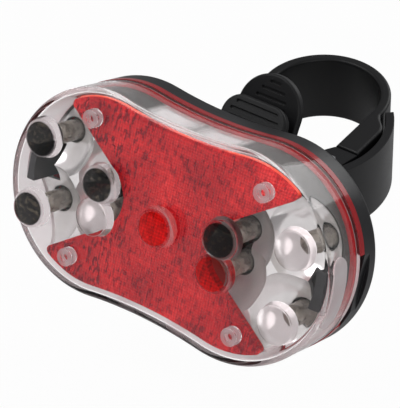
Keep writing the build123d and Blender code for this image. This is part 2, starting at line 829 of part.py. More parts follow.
def clamp_base():
    """Saddle block with tilt ears, the cradle arm on the right and the pawl's cheeks on the left."""
    leg_in, leg_out = post_r, post_r + strap
    low = -clamp_high
    body = box_between((-saddle_half, -saddle_front, low), (saddle_half, -post_r / 2, saddle_top))
    start = math.radians(cradle_from)
    edge_u = cradle_r * math.cos(start)
    edge_v = cradle_r * math.sin(start) - cradle_v
    inner_u = (cradle_r - cradle_wall) * math.cos(start)
    inner_v = (cradle_r - cradle_wall) * math.sin(start) - cradle_v
    body += prism(cradle_sector(), low, cradle_top)
    wall = Polyline(
        (saddle_half - web, -saddle_front),
        (edge_u, edge_v),
        (inner_u, inner_v),
        (saddle_half, -saddle_front + web),
        (saddle_half - web, -saddle_front + web),
        close=True,
    )
    body += prism(make_face(wall), low, saddle_top)
    shelf = Polyline(
        (leg_in, -shoulder_end - rest_gap),
        (shoulder_u, -shoulder_end - rest_gap),
        (inner_u + cradle_wall / 2, inner_v + cradle_wall),
        (edge_u, edge_v),
        (leg_in - web, -leg_end - rest_gap - web / 2),
        (leg_in - web, -leg_end + web),
        close=True,
    )
    gap = tongue_end_half + slip_gap
    body += prism(make_face(shelf), low, -gap)
    body += prism(make_face(shelf), gap, cradle_top)
    leg_stop = -leg_end - rest_gap
    body += box_between((leg_in - web, leg_stop - web, low), (edge_u - cradle_wall / 2, leg_stop, cradle_top))
    body -= rod_w(anchor_r + shaft_gap, anchor_u, -anchor_v, low - overrun, cradle_top + overrun)
    body += pawl_buckle()
    v, w = tilt_in_clamp()
    for side in (-1, 1):
        a = side * (lug_half + hinge_side_gap)
        b = side * (lug_half + hinge_side_gap + ear)
        a, b = sorted((a, b))
        arm = Polyline(
            (v, w - ear_r),
            (-saddle_front + web, -clamp_high),
            (-saddle_front + web, saddle_top),
            (-saddle_front, saddle_top),
            (v - ear_r * math.sin(math.radians(post_lean)), w + ear_r),
            close=True,
        )
        body += extrude(Plane.YZ.offset(a) * make_face(arm), b - a)
        body += rod_x(ear_r, a, b, v, w)
    body -= rod_x(tilt_screw_r + shaft_gap, -saddle_half, saddle_half, v, w)
    lug_room = rod_x(lug_r + rest_gap, -lug_half - hinge_side_gap, lug_half + hinge_side_gap, v, w)
    body -= lug_room
    bed = post_r + saddle_pad + shaft_gap
    body -= rod_w(bed, 0, 0, low - overrun, cradle_top + overrun)
    return body


def saddle_pad_piece():
    """Rubber pad on the saddle, where the post bears."""
    ring = Circle(post_r + saddle_pad) - Circle(post_r)
    reach = math.tan(math.radians(pad_reach)) * 2 * post_r
    wedge = make_face(Polyline((0, 0), (-reach, -2 * post_r), (reach, -2 * post_r), close=True))
    return prism(ring & wedge, -clamp_high, saddle_top)


def rack_tooth(index):
    """Outline of one ratchet tooth on the strap's tail, leaning away from the post's front."""
    outer = post_r + strap
    at = -tooth_from - index * tooth_pitch
    corners = [(-outer, at), (-outer - tooth_deep, at - tooth_slant), (-outer, at - tooth_pitch)]
    return make_face(Polyline(*corners, close=True))


def clamp_strap():
    """Strap round the post: toothed left tail, plain back, thick right shoulder and anchored end."""
    inner, outer = post_r, post_r + strap
    band_shape = Circle(outer) - Circle(inner)
    band_shape -= Location((0, -outer)) * Rectangle(2 * outer, 2 * outer)
    middle = -(inner + outer) / 2
    band_shape += Location((middle, -tail_from / 2)) * Rectangle(strap, tail_from)
    bulge = make_face(
        [
            Line((inner, 0), (outer, 0)),
            Spline([(outer, 0), (shoulder_u, -shoulder_full)], tangents=[(shoulder_lead, -1), (0, -1)]),
            Line((shoulder_u, -shoulder_full), (shoulder_u, -shoulder_end)),
            Line((shoulder_u, -shoulder_end), (inner, -shoulder_end)),
            Line((inner, -shoulder_end), (inner, 0)),
        ]
    )
    body = prism(band_shape + bulge, -clamp_high, clamp_high)
    rims = body.faces().sort_by(Axis.Z)[0].edges() + body.faces().sort_by(Axis.Z)[-1].edges()
    body = fillet(rims, strap_edge_r)
    low_corner = (inner, -leg_end, -tongue_end_half)
    body += box_between(low_corner, (outer + strap / 2, -shoulder_end + strap, tongue_end_half))
    body += box_between((-outer, -tail_end, -tail_low), (-inner, -tail_from + strap, tail_high))
    rack = Sketch() + [rack_tooth(index) for index in range(tooth_count)]
    body += prism(rack, pawl_low, pawl_high)
    body -= rod_w(anchor_r + shaft_gap, anchor_u, -anchor_v, -clamp_high, clamp_high)
    return body


def strap_pin():
    return rod_w(anchor_r, anchor_u, -anchor_v, -clamp_high, cradle_top)


def strap_pawl():
    """Ratchet pawl: barrel, long nose that sits in the strap's rack and a thumb tail."""
    outer = post_r + strap
    index = round((pawl_nose - tooth_from) / tooth_pitch)
    root = -tooth_from - index * tooth_pitch
    tip_u = -outer - 2 * slip_gap
    nose = [
        (tip_u, root + slip_gap),
        (tip_u, root),
        (tip_u - tooth_deep, root - tooth_slant),
        (-pawl_u + pawl_barrel_r / 2, root - tooth_slant),
        (-pawl_u - pawl_barrel_r, -pawl_v),
        (-pawl_u + pawl_barrel_r, -pawl_v),
        (tip_u - tooth_deep - shaft_gap, root + 2 * tooth_pitch),
        (tip_u - tooth_deep - shaft_gap, root + slip_gap + tooth_pitch - tooth_slant),
    ]
    tail = [
        (-pawl_u, -pawl_v),
        (-pawl_u, -pawl_v + pawl_barrel_r),
        (-pawl_u - pawl_barrel_r, -pawl_v + pawl_tail),
        (-pawl_u - pawl_barrel_r - pawl_thick, -pawl_v + pawl_tail),
        (-pawl_u - pawl_barrel_r, -pawl_v),
    ]
    shape = Location((-pawl_u, -pawl_v)) * Circle(pawl_barrel_r)
    shape += make_face(Polyline(*nose, close=True)) + make_face(Polyline(*tail, close=True))
    body = prism(shape, pawl_low, pawl_high)
    middle, half = (pawl_low + pawl_high) / 2, coil_room() / 2
    body -= rod_w(pawl_barrel_r + slip_gap, -pawl_u, -pawl_v, middle - half, middle + half)
    return body - rod_w(pawl_pin_r + shaft_gap, -pawl_u, -pawl_v, pawl_low - overrun, pawl_high + overrun)


def coil_room():
    """Length of the slot in a barrel that holds a torsion spring."""
    return coil_turns * coil_pitch + 2 * wire_r + 2 * slip_gap


def torsion_spring(pin_r, foot_leg, end_leg):
    """Spring wound round the Z axis, with a straight leg running on from each end of the winding."""
    radius = pin_r + slip_gap + wire_r
    height = coil_turns * coil_pitch
    path = Location((0, 0, -height / 2)) * Helix(coil_pitch, height, radius)
    body = sweep(Plane(path @ 0, z_dir=path % 0) * Circle(wire_r), path=path, is_frenet=True)
    foot = Plane(path @ 0, z_dir=-(path % 0))
    end = Plane(path @ 1, z_dir=path % 1)
    return body + extrude(foot * Circle(wire_r), foot_leg) + extrude(end * Circle(wire_r), end_leg)


def pawl_spring():
    """Torsion spring of the pawl, round its pin."""
    middle = (pawl_low + pawl_high) / 2
    return Location((-pawl_u, -pawl_v, middle)) * torsion_spring(pawl_pin_r, spring_foot, spring_foot)


def lever_spring():
    """Torsion spring of the latch lever, with its foot on the lug and its end along the stem."""
    turn = Plane((0, lever_y, lever_z), x_dir=(0, 1, 0), z_dir=(1, 0, 0))
    return turn.location * torsion_spring(lever_pin_r, spring_foot, spring_leg)


def pawl_pin():
    return rod_w(pawl_pin_r, -pawl_u, -pawl_v, -buckle_low, buckle_top)


light_parts = {
    "front_cover": front_cover,
    "red_reflector": red_reflector,
    "chrome_reflector": chrome_reflector,
    "red_frame": red_frame,
    "housing_gasket": housing_gasket,
    "rear_housing": rear_housing,
    "led_board": led_board,
    "board_screws": board_screws,
    "tact_switch": tact_switch,
    "power_button": power_button,
    "battery_upper": lambda: cell(1),
    "battery_lower": lambda: cell(-1),
    "contact_right": lambda: contact(1, -1),
    "contact_left": lambda: contact(-1, 1),
    "mounting_shoe": mounting_shoe,
    "shoe_screws": shoe_screws,
    "bracket_plate": bracket_plate,
    "latch_lever": latch_lever,
    "lever_pin": lever_pin,
    "lever_spring": lever_spring,
    "tilt_screw": tilt_screw,
    "tilt_nut": tilt_nut,
}
clamp_parts = {
    "clamp_base": clamp_base,
    "saddle_pad": saddle_pad_piece,
    "clamp_strap": clamp_strap,
    "strap_pin": strap_pin,
    "strap_pawl": strap_pawl,
    "pawl_pin": pawl_pin,
    "pawl_spring": pawl_spring,
}

os.makedirs("parts", exist_ok=True)
for name, build in light_parts.items():
    export_step(light_at * build(), f"parts/{name}.step")
for number, (x, z) in enumerate(led_places, 1):
    export_step(light_at * led(x, z), f"parts/led_{number}.step")
for name, build in clamp_parts.items():
    export_step(clamp_at * build(), f"parts/{name}.step")
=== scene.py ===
"""Dresses the bicycle rear light: cover, prism reflector, bowls, diodes and black mouldings."""

import math

import bmesh
import bpy
from bpy.props import FloatProperty, FloatVectorProperty, IntProperty, PointerProperty
from mathutils import Matrix, Vector


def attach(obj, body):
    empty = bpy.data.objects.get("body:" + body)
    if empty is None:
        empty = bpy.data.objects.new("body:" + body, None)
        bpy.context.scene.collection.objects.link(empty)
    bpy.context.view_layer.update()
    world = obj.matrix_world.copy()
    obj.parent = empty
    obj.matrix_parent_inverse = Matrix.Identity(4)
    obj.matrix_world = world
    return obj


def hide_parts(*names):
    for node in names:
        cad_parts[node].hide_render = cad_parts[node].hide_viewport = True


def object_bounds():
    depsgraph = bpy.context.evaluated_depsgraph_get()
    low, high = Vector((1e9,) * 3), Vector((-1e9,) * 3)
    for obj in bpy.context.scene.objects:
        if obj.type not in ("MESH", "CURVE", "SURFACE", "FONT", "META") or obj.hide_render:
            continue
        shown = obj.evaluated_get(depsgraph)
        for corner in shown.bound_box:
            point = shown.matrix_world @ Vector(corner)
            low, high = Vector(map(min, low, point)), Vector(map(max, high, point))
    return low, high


bl_info = {
    "name": "Bicycle rear light dressing",
    "version": (1, 0, 0),
    "blender": (4, 5, 0),
    "location": "3D View > Sidebar > Rear light",
    "description": "Builds the cover and diodes of a bicycle rear light and finishes its other parts",
    "category": "Object",
}

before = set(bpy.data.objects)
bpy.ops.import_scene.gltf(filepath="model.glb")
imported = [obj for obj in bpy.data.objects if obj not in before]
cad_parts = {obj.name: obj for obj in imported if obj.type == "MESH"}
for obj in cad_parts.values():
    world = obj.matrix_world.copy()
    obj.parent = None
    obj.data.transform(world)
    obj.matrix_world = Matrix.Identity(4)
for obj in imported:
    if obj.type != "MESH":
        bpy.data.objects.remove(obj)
cad_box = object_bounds()


def quarters(x, z):
    """A place on the lamp's face and its mirror images, the left side first."""
    return [(side * x, half * z) for side in (-1, 1) for half in (1, -1)]


# The lamp's own frame has its origin on the seam, in the middle of the outline, in millimetres.
PER_METRE = 1000.0
POST_BEHIND = 50.0
POST_ABOVE = 13.6

# The outline: a lobe at each end, and a waist that curves in between them.
LOBE_R = 24.5
LOBE_X = 18.8
LOBE_STEPS = 56
WAIST_HALF = 23.2
WAIST_R = (LOBE_X**2 + WAIST_HALF**2 - LOBE_R**2) / (2 * (LOBE_R - WAIST_HALF))
WAIST_STEPS = 24

# The diodes on the face: one in the middle, an inner four and an outer four. A slot joins the holes
# of each inner pair, and its middle is in PAIR_MIDDLES.
INNER_LED_X = 16.6
INNER_LED_Z = 4.0
OUTER_LED_X = 34.1
OUTER_LED_Z = 8.7
LED_PLACES = [(0.0, 0.0), *quarters(INNER_LED_X, INNER_LED_Z), *quarters(OUTER_LED_X, OUTER_LED_Z)]
PAIR_MIDDLES = [(INNER_LED_X, 0.0), (-INNER_LED_X, 0.0)]

# Diodes, by their index in LED_PLACES: the first list's lenses get the painted shade of a dark well,
# the second's a painted reflection of the red plate.
WELL_SHADED_LENSES = (1, 3, 5, 6)
RED_VIEW_LENSES = (0, 4)

# A diode: its tip and its flange, and the metal inside it, which moves ahead with the tip. The middle
# diode's tip is where the solids have it.
LED_R = 2.5
LED_TIP = -11.4
LED_TIP_MIDDLE = -7.2
LED_DOME_STEPS = 10
FLANGE_R = 2.9
FLANGE_BACK = 0.4
FLANGE_FRONT = -0.6
FLANGE_SOFT = 0.1
STEM_R = 0.5
STEM_BACK = 0.3
STEM_FRONT = -3.0
CUP_FOOT = -3.8
CUP_FOOT_R = 0.95
CUP_R = 1.0
CUP_TOP = -4.4
CUP_LIP_R = 0.7
CUP_WELL = -4.0
CUP_WELL_R = 0.35
CUP_ASIDE = -0.35
WIRE_R = 0.28
WIRE_HEAD_R = 0.5
WIRE_ASIDE = 1.1

# The clear cover: insets from the outline, and depths from the seam, negative ahead of it.
COVER_STEP = 0.1
COVER_SEAM = -1.8
SEAM_SOFT = 0.12
COVER_MIDDLE = -7.5
COVER_FRONT = -15.6
COVER_FACE = 2.0
COVER_EDGE = 2.5
COVER_EDGE_STEPS = 14
FACE_RINGS = (6.5, 12.0)
HOLLOW_BACK = 2.0
HOLLOW_EDGE = 0.6
HOLLOW_EDGE_STEPS = 5

# Its bosses: a root inside the face, a taper, a soft edge and a shallow dome.
BOSS_ROOT = 1.0
BOSS_TAPER = 0.5
BOSS_TAPER_SHARES = (0.3, 0.6, 0.88)
BOSS_RIM_IN = 0.55
BOSS_SIDE = 2.2
BOSS_TOP = 2.8
BOSS_SOFT = 0.3
BOSS_SOFT_STEPS = 5
BOSS_DOME_STEPS = 8

# The tubes that stand on the red plate, and the blind bore in each.
TUBE_X = 23.1
TUBE_Z = 17.0
TUBE_PLACES = quarters(TUBE_X, TUBE_Z)
TUBE_R = 2.1
TUBE_BORE = 0.8
TUBE_PROUD = 0.3
TUBE_SOFT = 0.15
TUBE_END = -12.85
BORE_START = -12.0
BORE_END = -14.25
BORE_SOFT = 0.1
BORE_TIP_R = 0.6

# The raised pad on the right end, and the ledges for the hooks inside both ends.
END_FROM = 30.0
END_TO = 60.0
PAD_PROUD = 0.4
PAD_ROOT = 1.0
PAD_FRONT = -13.4
PAD_BACK = -8.2
PAD_MIDDLE = 0.5
PAD_HALF = 8.2
PAD_CORNER = 2.4
PAD_CORNER_STEPS = 8
PAD_SOFT = 0.3
PAD_SOFT_STEPS = 4
HOOK_HALF = 4.4
LEDGE_ROOT = 0.15
LEDGE_REACH = 3.0
LEDGE_FRONT = -10.2
LEDGE_BACK = -9.3
LEDGE_CUT_FRONT = -12.0
LEDGE_CUT_BACK = -6.0

# Where the clear cover's finish changes: radii round a diode's place, depths and distances across.
PAINTED_VIEW_R = 3.9
PAINTED_VIEW_START = COVER_FRONT - 1.8
BOSS_TINT_R = 5.3
BOSS_TINT_START = COVER_FRONT - 0.1
TUBE_FROST_IN = 0.15
PAD_FROST_START = 0.05
SEAM_GLOW_START = COVER_SEAM - 0.15
WALL_MIDDLE = -1.0
WALL_FRONT = COVER_FRONT + COVER_FACE + 0.4
LEFT_END = -27.0
LEFT_END_SOFT = 10.0

# Where the reflectors' finishes change: radii, distances inside the outline, the slopes of a prism
# in degrees, where the dashes fade along X, and the weave's turn in radians over a millimetre.
PLATE_SMOOTH_R = 6.5
PLATE_RIM = -3.4
PRISM_SLOPES = (90, 210, 330)
DASH_FADE = -14.0
DASH_FADE_SOFT = 16.0
WEAVE_TURN = 9.5
BOWL_HOLE_R = 3.3
BOWL_SLOT_R = 3.0
BOWL_BASE_R = 3.2
BOWL_RIM = -3.3
UPPER_HALF_START = 2.0
UPPER_HALF_SOFT = 6.0
UPPER_HALF_SLANT = 0.4

# The board's tracks and the cells' sleeves.
TRACK_PITCH_X = 2.4
TRACK_PITCH_Z = 5.0
TRACK_GAP_X = 1.0
TRACK_GAP_Z = 1.4
CELL_BAND_START = 10.5
CELL_END_START = 21.0

# How much light each clear material bends, and how often light may bounce.
COVER_IOR = 1.3
PLASTIC_IOR = 1.5
EPOXY_IOR = 1.53
CLEAR_BOUNCES = 24
METAL_BOUNCES = 16

# Segments round the turned pieces, and the angle in degrees above which an edge stays hard.
LED_SEGMENTS = 48
TUBE_SEGMENTS = 48
BORE_SEGMENTS = 32
CUP_SEGMENTS = 24
WIRE_SEGMENTS = 16
HARD_ANGLE = 32

# The camera: millimetres and degrees, round the origin of the lamp's own frame.
CAMERA_LENS = 155.53
CAMERA_SENSOR = 36.0
CAMERA_TURN = 30.4898
CAMERA_RISE = 21.0677
CAMERA_ROLL = 12.1678
CAMERA_AWAY = 398.2013
CAMERA_RIGHT = 0.2668
CAMERA_UP = 1.9308

# The studio, in metres: the floor's drop below the part lets the light tilt down.
FLOOR_DROP = 0.02
FLOOR_HALF = 1.5
FLOOR_WHITENESS = 0.97
WORLD_STRENGTH = 0.28
CAMERA_NEAR = 0.01
CAMERA_FAR = 20.0

# Colours that belong to one finish.
WHITE = (1.0, 1.0, 1.0)
WORLD_GREY = (0.9, 0.9, 0.92)
FLOOR_DARK = (0.8, 0.8, 0.8)
FLOOR_PALE = (0.84, 0.84, 0.84)
WELL_SHADE_FLECK = (0.02, 0.016, 0.01)
PAINTED_RED_VIEW = (0.85, 0.02, 0.015)
BOSS_TINT = (0.66, 0.6, 0.61)
FROST_AND_GLOW_DARK = (0.75, 0.55, 0.57)
FROST_AND_GLOW_PALE = (0.86, 0.82, 0.82)
PRISM_SHADE = (0.16, 0.0, 0.008)
PRISM_RIM_HIGHLIGHT = (0.85, 0.06, 0.02)
PAINTED_DARK = (0.02, 0.019, 0.016)
LIT_RIM_DARK = (0.46, 0.36, 0.37)
LIT_RIM_PALE = (0.6, 0.58, 0.58)
RED_MOULDING_DARK = (0.3, 0.004, 0.01)
RED_MOULDING_PALE = (0.6, 0.012, 0.016)
EPOXY_CLOUD_DARK = (0.2, 0.17, 0.14)
EPOXY_CLOUD_PALE = (0.5, 0.46, 0.4)
SOLDER_MASK = (0.012, 0.016, 0.012)
SOLDER_TRACK = (0.03, 0.04, 0.03)
CELL_SLEEVE = (0.02, 0.02, 0.024)
CELL_BAND = (0.55, 0.26, 0.09)
CELL_END = (0.6, 0.6, 0.6)
LEAD_STEEL = (0.32, 0.31, 0.29)
NICKEL = (0.75, 0.73, 0.68)
ZINC = (0.62, 0.62, 0.64)
PIN_STEEL = (0.66, 0.66, 0.68)
SPRING_STEEL = (0.5, 0.5, 0.52)
SCREW_STEEL = (0.6, 0.6, 0.62)


def at(x, y, z):
    """A point of the lamp's own frame as a point of the shared frame, in metres."""
    return Vector((x / PER_METRE, (y - POST_BEHIND) / PER_METRE, (z - POST_ABOVE) / PER_METRE))


def mm(length):
    """A setting's metres as millimetres."""
    return length * PER_METRE


# Shader maths


class Value:
    """A node's output that takes part in Python arithmetic."""

    def __init__(self, graph, socket):
        self.graph, self.socket = graph, socket

    def maths(self, operation, *others):
        """A Math node on this value and others."""
        return self.graph.maths(operation, self, *others)

    def __add__(self, other):
        return self.maths("ADD", other)

    def __sub__(self, other):
        return self.maths("SUBTRACT", other)

    def __rsub__(self, other):
        return self.graph.maths("SUBTRACT", other, self)

    def __mul__(self, other):
        return self.maths("MULTIPLY", other)

    def __truediv__(self, other):
        return self.maths("DIVIDE", other)

    def __mod__(self, other):
        return self.maths("FLOORED_MODULO", other)

    __radd__ = __add__
    __rmul__ = __mul__

    def above(self, edge, soft):
        """0 below an edge and 1 above it, over a soft width."""
        return ((self - edge) / soft + 0.5).maths("MINIMUM", 1.0).maths("MAXIMUM", 0.0)


def most(first, *others):
    """The largest of several values."""
    for other in others:
        first = first.maths("MAXIMUM", other)
    return first


def reach(across, up):
    """How far a point is from zero."""
    return (across * across + up * up).maths("SQRT")


class Graph:
    """A node tree, and what adds to it."""

    def __init__(self, tree):
        self.tree = tree
        self.tree.nodes.clear()

    def feed(self, slot, value):
        """Links a value to a socket, or sets a number, a vector or a colour on it."""
        if isinstance(value, Value):
            self.tree.links.new(value.socket, slot)
        elif slot.type == "RGBA":
            slot.default_value = (*value, 1.0)
        else:
            slot.default_value = value

    def node(self, kind, settings=None, output=0, **inputs):
        """Any node: its type, its settings, then its sockets, by name or as _0, _1 by number."""
        node = self.tree.nodes.new(kind)
        for key, value in (settings or {}).items():
            if key == "stops":
                self.set_stops(node.color_ramp, value)
            else:
                setattr(node, key, value)
        for key, value in inputs.items():
            number = key[1:]
            slot = int(number) if number.isdigit() else key.replace("_", " ")
            self.feed(node.inputs[slot], value)
        return Value(self, node.outputs[output]) if node.outputs else None

    def set_stops(self, ramp, stops):
        """Gives a colour ramp its stops, each a place and a colour."""
        while len(ramp.elements) < len(stops):
            ramp.elements.new(0.5)
        for element, (place, colour) in zip(ramp.elements, stops):
            element.position = place
            element.color = (*colour, 1.0)

    def maths(self, operation, *values):
        """A Math node on values and numbers."""
        slots = {f"_{i}": value for i, value in enumerate(values)}
        return self.node("ShaderNodeMath", {"operation": operation}, **slots)

    def vector(self, operation, first, **inputs):
        """A Vector Math node."""
        return self.node("ShaderNodeVectorMath", {"operation": operation}, _0=first, **inputs)

    def axes(self, vector):
        """A vector's three parts."""
        first = self.node("ShaderNodeSeparateXYZ", _0=vector)
        return [Value(self, part) for part in first.socket.node.outputs]

    def blend(self, factor, first, second):
        """Mixes two colours, whose sockets on the node are numbers 6 and 7, and 2 as its result."""
        return self.node("ShaderNodeMix", {"data_type": "RGBA"}, 2, _0=factor, _6=first, _7=second)

    def mixed(self, factor, first, second):
        """Mixes two shaders."""
        return self.node("ShaderNodeMixShader", _0=factor, _1=first, _2=second)

    def in_view(self):
        """1 for a ray from the camera, straight or through something clear, and 0 for any other."""
        straight = self.node("ShaderNodeLightPath", output="Is Camera Ray")
        return most(straight, self.node("ShaderNodeLightPath", output="Is Transmission Ray"))


class Finish(Graph):
    """Builds one node material."""

    def __init__(self, name):
        self.material = bpy.data.materials.new(name)
        self.material.use_nodes = True
        super().__init__(self.material.node_tree)

    def place(self):
        """The point on the piece, in millimetres."""
        raw = self.node("ShaderNodeTexCoord", output="Object")
        return self.vector("SCALE", raw, Scale=PER_METRE)

    def facing(self):
        """Which way the surface looks, as its normal's three parts."""
        return self.axes(self.node("ShaderNodeTexCoord", output="Normal"))

    def lamp_axes(self, place):
        """The point's three distances in the lamp's own frame."""
        x, y, z = self.axes(place)
        return x, y + POST_BEHIND, z + POST_ABOVE

    def grain(self, place, size, detail=2.0, stretch=(1, 1, 1)):
        """Noise whose features are about one size, in millimetres, and longer along a low stretch."""
        moved = self.vector("MULTIPLY", place, _1=[share / size for share in stretch])
        return self.node("ShaderNodeTexNoise", Vector=moved, Scale=1.0, Detail=detail)

    def bump(self, height, depth, **normal):
        """A bump whose full height is a depth in millimetres."""
        metres = depth / PER_METRE
        return self.node("ShaderNodeBump", Height=height, Distance=metres, Strength=1.0, **normal)

    def rounded(self, radius):
        """Softens hard edges in shading by a radius in millimetres."""
        return self.node("ShaderNodeBevel", {"samples": 4}, Radius=radius / PER_METRE)

    def skin(self, **inputs):
        """The principled shader."""
        return self.node("ShaderNodeBsdfPrincipled", **inputs)

    def lets_light_in(self, shader, share, tint):
        """Lets lamps shine through a clear piece, which a plain glass shader would hold back."""
        clear = self.node("ShaderNodeBsdfTransparent", Color=tint)
        shadow = self.node("ShaderNodeLightPath", output="Is Shadow Ray")
        return self.mixed(shadow * share, shader, clear)

    def end(self, shader):
        """Closes the material with its shader."""
        self.node("ShaderNodeOutputMaterial", _0=shader)
        return self.material


# Mesh helpers


def outline(inset):
    """Points round the lamp's outline, drawn in by an inset, counter-clockwise from in front."""
    lobe, waist = LOBE_R - inset, WAIST_R + inset
    high = WAIST_HALF + WAIST_R
    turn = math.atan2(high, -LOBE_X)
    half = math.atan2(LOBE_X, high)
    points = []
    for i in range(LOBE_STEPS):
        a = -turn + 2 * turn * i / LOBE_STEPS
        points.append((LOBE_X + lobe * math.cos(a), lobe * math.sin(a)))
    for i in range(WAIST_STEPS):
        a = half - 2 * half * i / WAIST_STEPS
        points.append((waist * math.sin(a), high - waist * math.cos(a)))
    return points + [(-x, -z) for x, z in points]


def circle(centre, radius, steps):
    """Points round a place on the lamp's face."""
    x, z = centre
    turns = [2 * math.pi * i / steps for i in range(steps)]
    return [(x + radius * math.cos(a), z + radius * math.sin(a)) for a in turns]


def level(points, depth):
    """Points of the lamp's face at a depth, in the shared frame."""
    return [at(x, depth, z) for x, z in points]


def lofted(name, rows, closed=False):
    """A mesh through rows of points; a row of one point is a tip, and open ends get a face."""
    mesh = bmesh.new()
    rows = [[mesh.verts.new(point) for point in row] for row in rows]
    for low, high in zip(rows, rows[1:] + rows[:1] if closed else rows[1:]):
        count = max(len(low), len(high))
        for i in range(count):
            j = (i + 1) % count
            corners = [row[k % len(row)] for row, k in ((low, i), (low, j), (high, j), (high, i))]
            mesh.faces.new(list(dict.fromkeys(corners)))
    if not closed:
        for row in (rows[0][::-1], rows[-1]):
            if len(row) > 1:
                mesh.faces.new(row)
    bmesh.ops.recalc_face_normals(mesh, faces=mesh.faces)
    return finished(name, mesh)


def banded(name, outer, inner, near, far):
    """A closed ring between two insets of the lamp's outline and two depths."""
    rings = [(outer, near), (outer, far), (inner, far), (inner, near)]
    return lofted(name, [level(outline(inset), depth) for inset, depth in rings], closed=True)


def across(name, shape, start, end):
    """A prism along X over an outline of (depth, height) points."""
    return lofted(name, [[at(x, y, z) for y, z in shape] for x in (start, end)])


def turned(name, centre, profile, steps):
    """A round piece along Y: profile rows are (radius, depth), with a closed tip at radius 0."""
    rows = []
    for radius, depth in profile:
        ring = circle(centre, radius, steps) if radius > 0 else [centre]
        rows.append(level(ring, depth))
    return lofted(name, rows)


def finished(name, mesh):
    """A mesh as an object of the scene."""
    data = bpy.data.meshes.new(name)
    mesh.to_mesh(data)
    mesh.free()
    piece = bpy.data.objects.new(name, data)
    bpy.context.scene.collection.objects.link(piece)
    return piece


def applied(piece):
    """Makes a piece's modifiers part of its mesh."""
    graph = bpy.context.evaluated_depsgraph_get()
    data = bpy.data.meshes.new_from_object(piece.evaluated_get(graph))
    piece.modifiers.clear()
    piece.data = data
    return piece


def combined(piece, other, operation):
    """Adds, cuts or keeps the overlap of another mesh, which is used up."""
    modifier = piece.modifiers.new("shape", "BOOLEAN")
    modifier.operation, modifier.solver, modifier.object = operation, "EXACT", other
    modifier.use_self = False
    applied(piece)
    bpy.data.objects.remove(other)
    return piece


def bevelled(piece, width, segments):
    """Rounds a mesh's hard edges, by a width in millimetres."""
    modifier = piece.modifiers.new("edge", "BEVEL")
    modifier.width, modifier.segments = width / PER_METRE, segments
    modifier.limit_method, modifier.angle_limit = "ANGLE", math.radians(HARD_ANGLE)
    modifier.harden_normals = False
    return applied(piece)


def joined(name, pieces):
    """Several meshes as one, left as they are."""
    mesh = bmesh.new()
    for piece in pieces:
        mesh.from_mesh(piece.data)
        bpy.data.objects.remove(piece)
    return finished(name, mesh)


def smoothed(piece):
    """Smooth shading with the hard edges kept."""
    mesh = bmesh.new()
    mesh.from_mesh(piece.data)
    for face in mesh.faces:
        face.smooth = True
    for edge in mesh.edges:
        edge.smooth = len(edge.link_faces) == 2 and edge.calc_face_angle(0) < math.radians(HARD_ANGLE)
    mesh.to_mesh(piece.data)
    mesh.free()
    return piece


def arc_rows(radius, depth, inset, steps):
    """Rows of a rounded edge: inset and depth along a quarter circle, from the wall to the face."""
    rows = []
    for i in range(steps + 1):
        a = math.pi / 2 * i / steps
        rows.append((inset + radius * (1 - math.cos(a)), depth - radius * math.sin(a)))
    return rows


def dress(piece, body, material, slot, *nodes):
    """Finishes a piece: its material, the body it rides on and what it stands for."""
    piece.data.materials.clear()
    piece.data.materials.append(material)
    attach(piece, body)
    if nodes:
        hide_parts(*nodes)


def paint(material, *nodes):
    """Gives CAD nodes a finish."""
    for node in nodes:
        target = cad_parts[node]
        target.data.materials.clear()
        target.data.materials.append(material)


# Finishes


def shade(colour, share):
    """A colour made darker or lighter."""
    return [channel * share for channel in colour]


def near_any(x, z, places, radius, soft=0.3):
    """1 within a radius of any of some places on the lamp's face, 0 elsewhere."""
    return most(*[1 - reach(x - px, z - pz).above(radius, soft) for px, pz in places])


def off_line(x, z):
    """How far a point is past its lobe's centre, and roughly how far out of the outline it lies."""
    past = (x.maths("ABSOLUTE") - LOBE_X).maths("MAXIMUM", 0.0)
    waist = 1 - x.maths("ABSOLUTE").above(0.0, LOBE_X)
    edge = reach(past, z) - LOBE_R + waist * (LOBE_R - WAIST_HALF)
    return x.maths("SIGN") * past, edge


def upper_half(side, z):
    """1 over the lamp's upper half and 0 over the lower, with a soft line that slants at the ends."""
    return (side * UPPER_HALF_SLANT + z).above(UPPER_HALF_START, UPPER_HALF_SOFT)


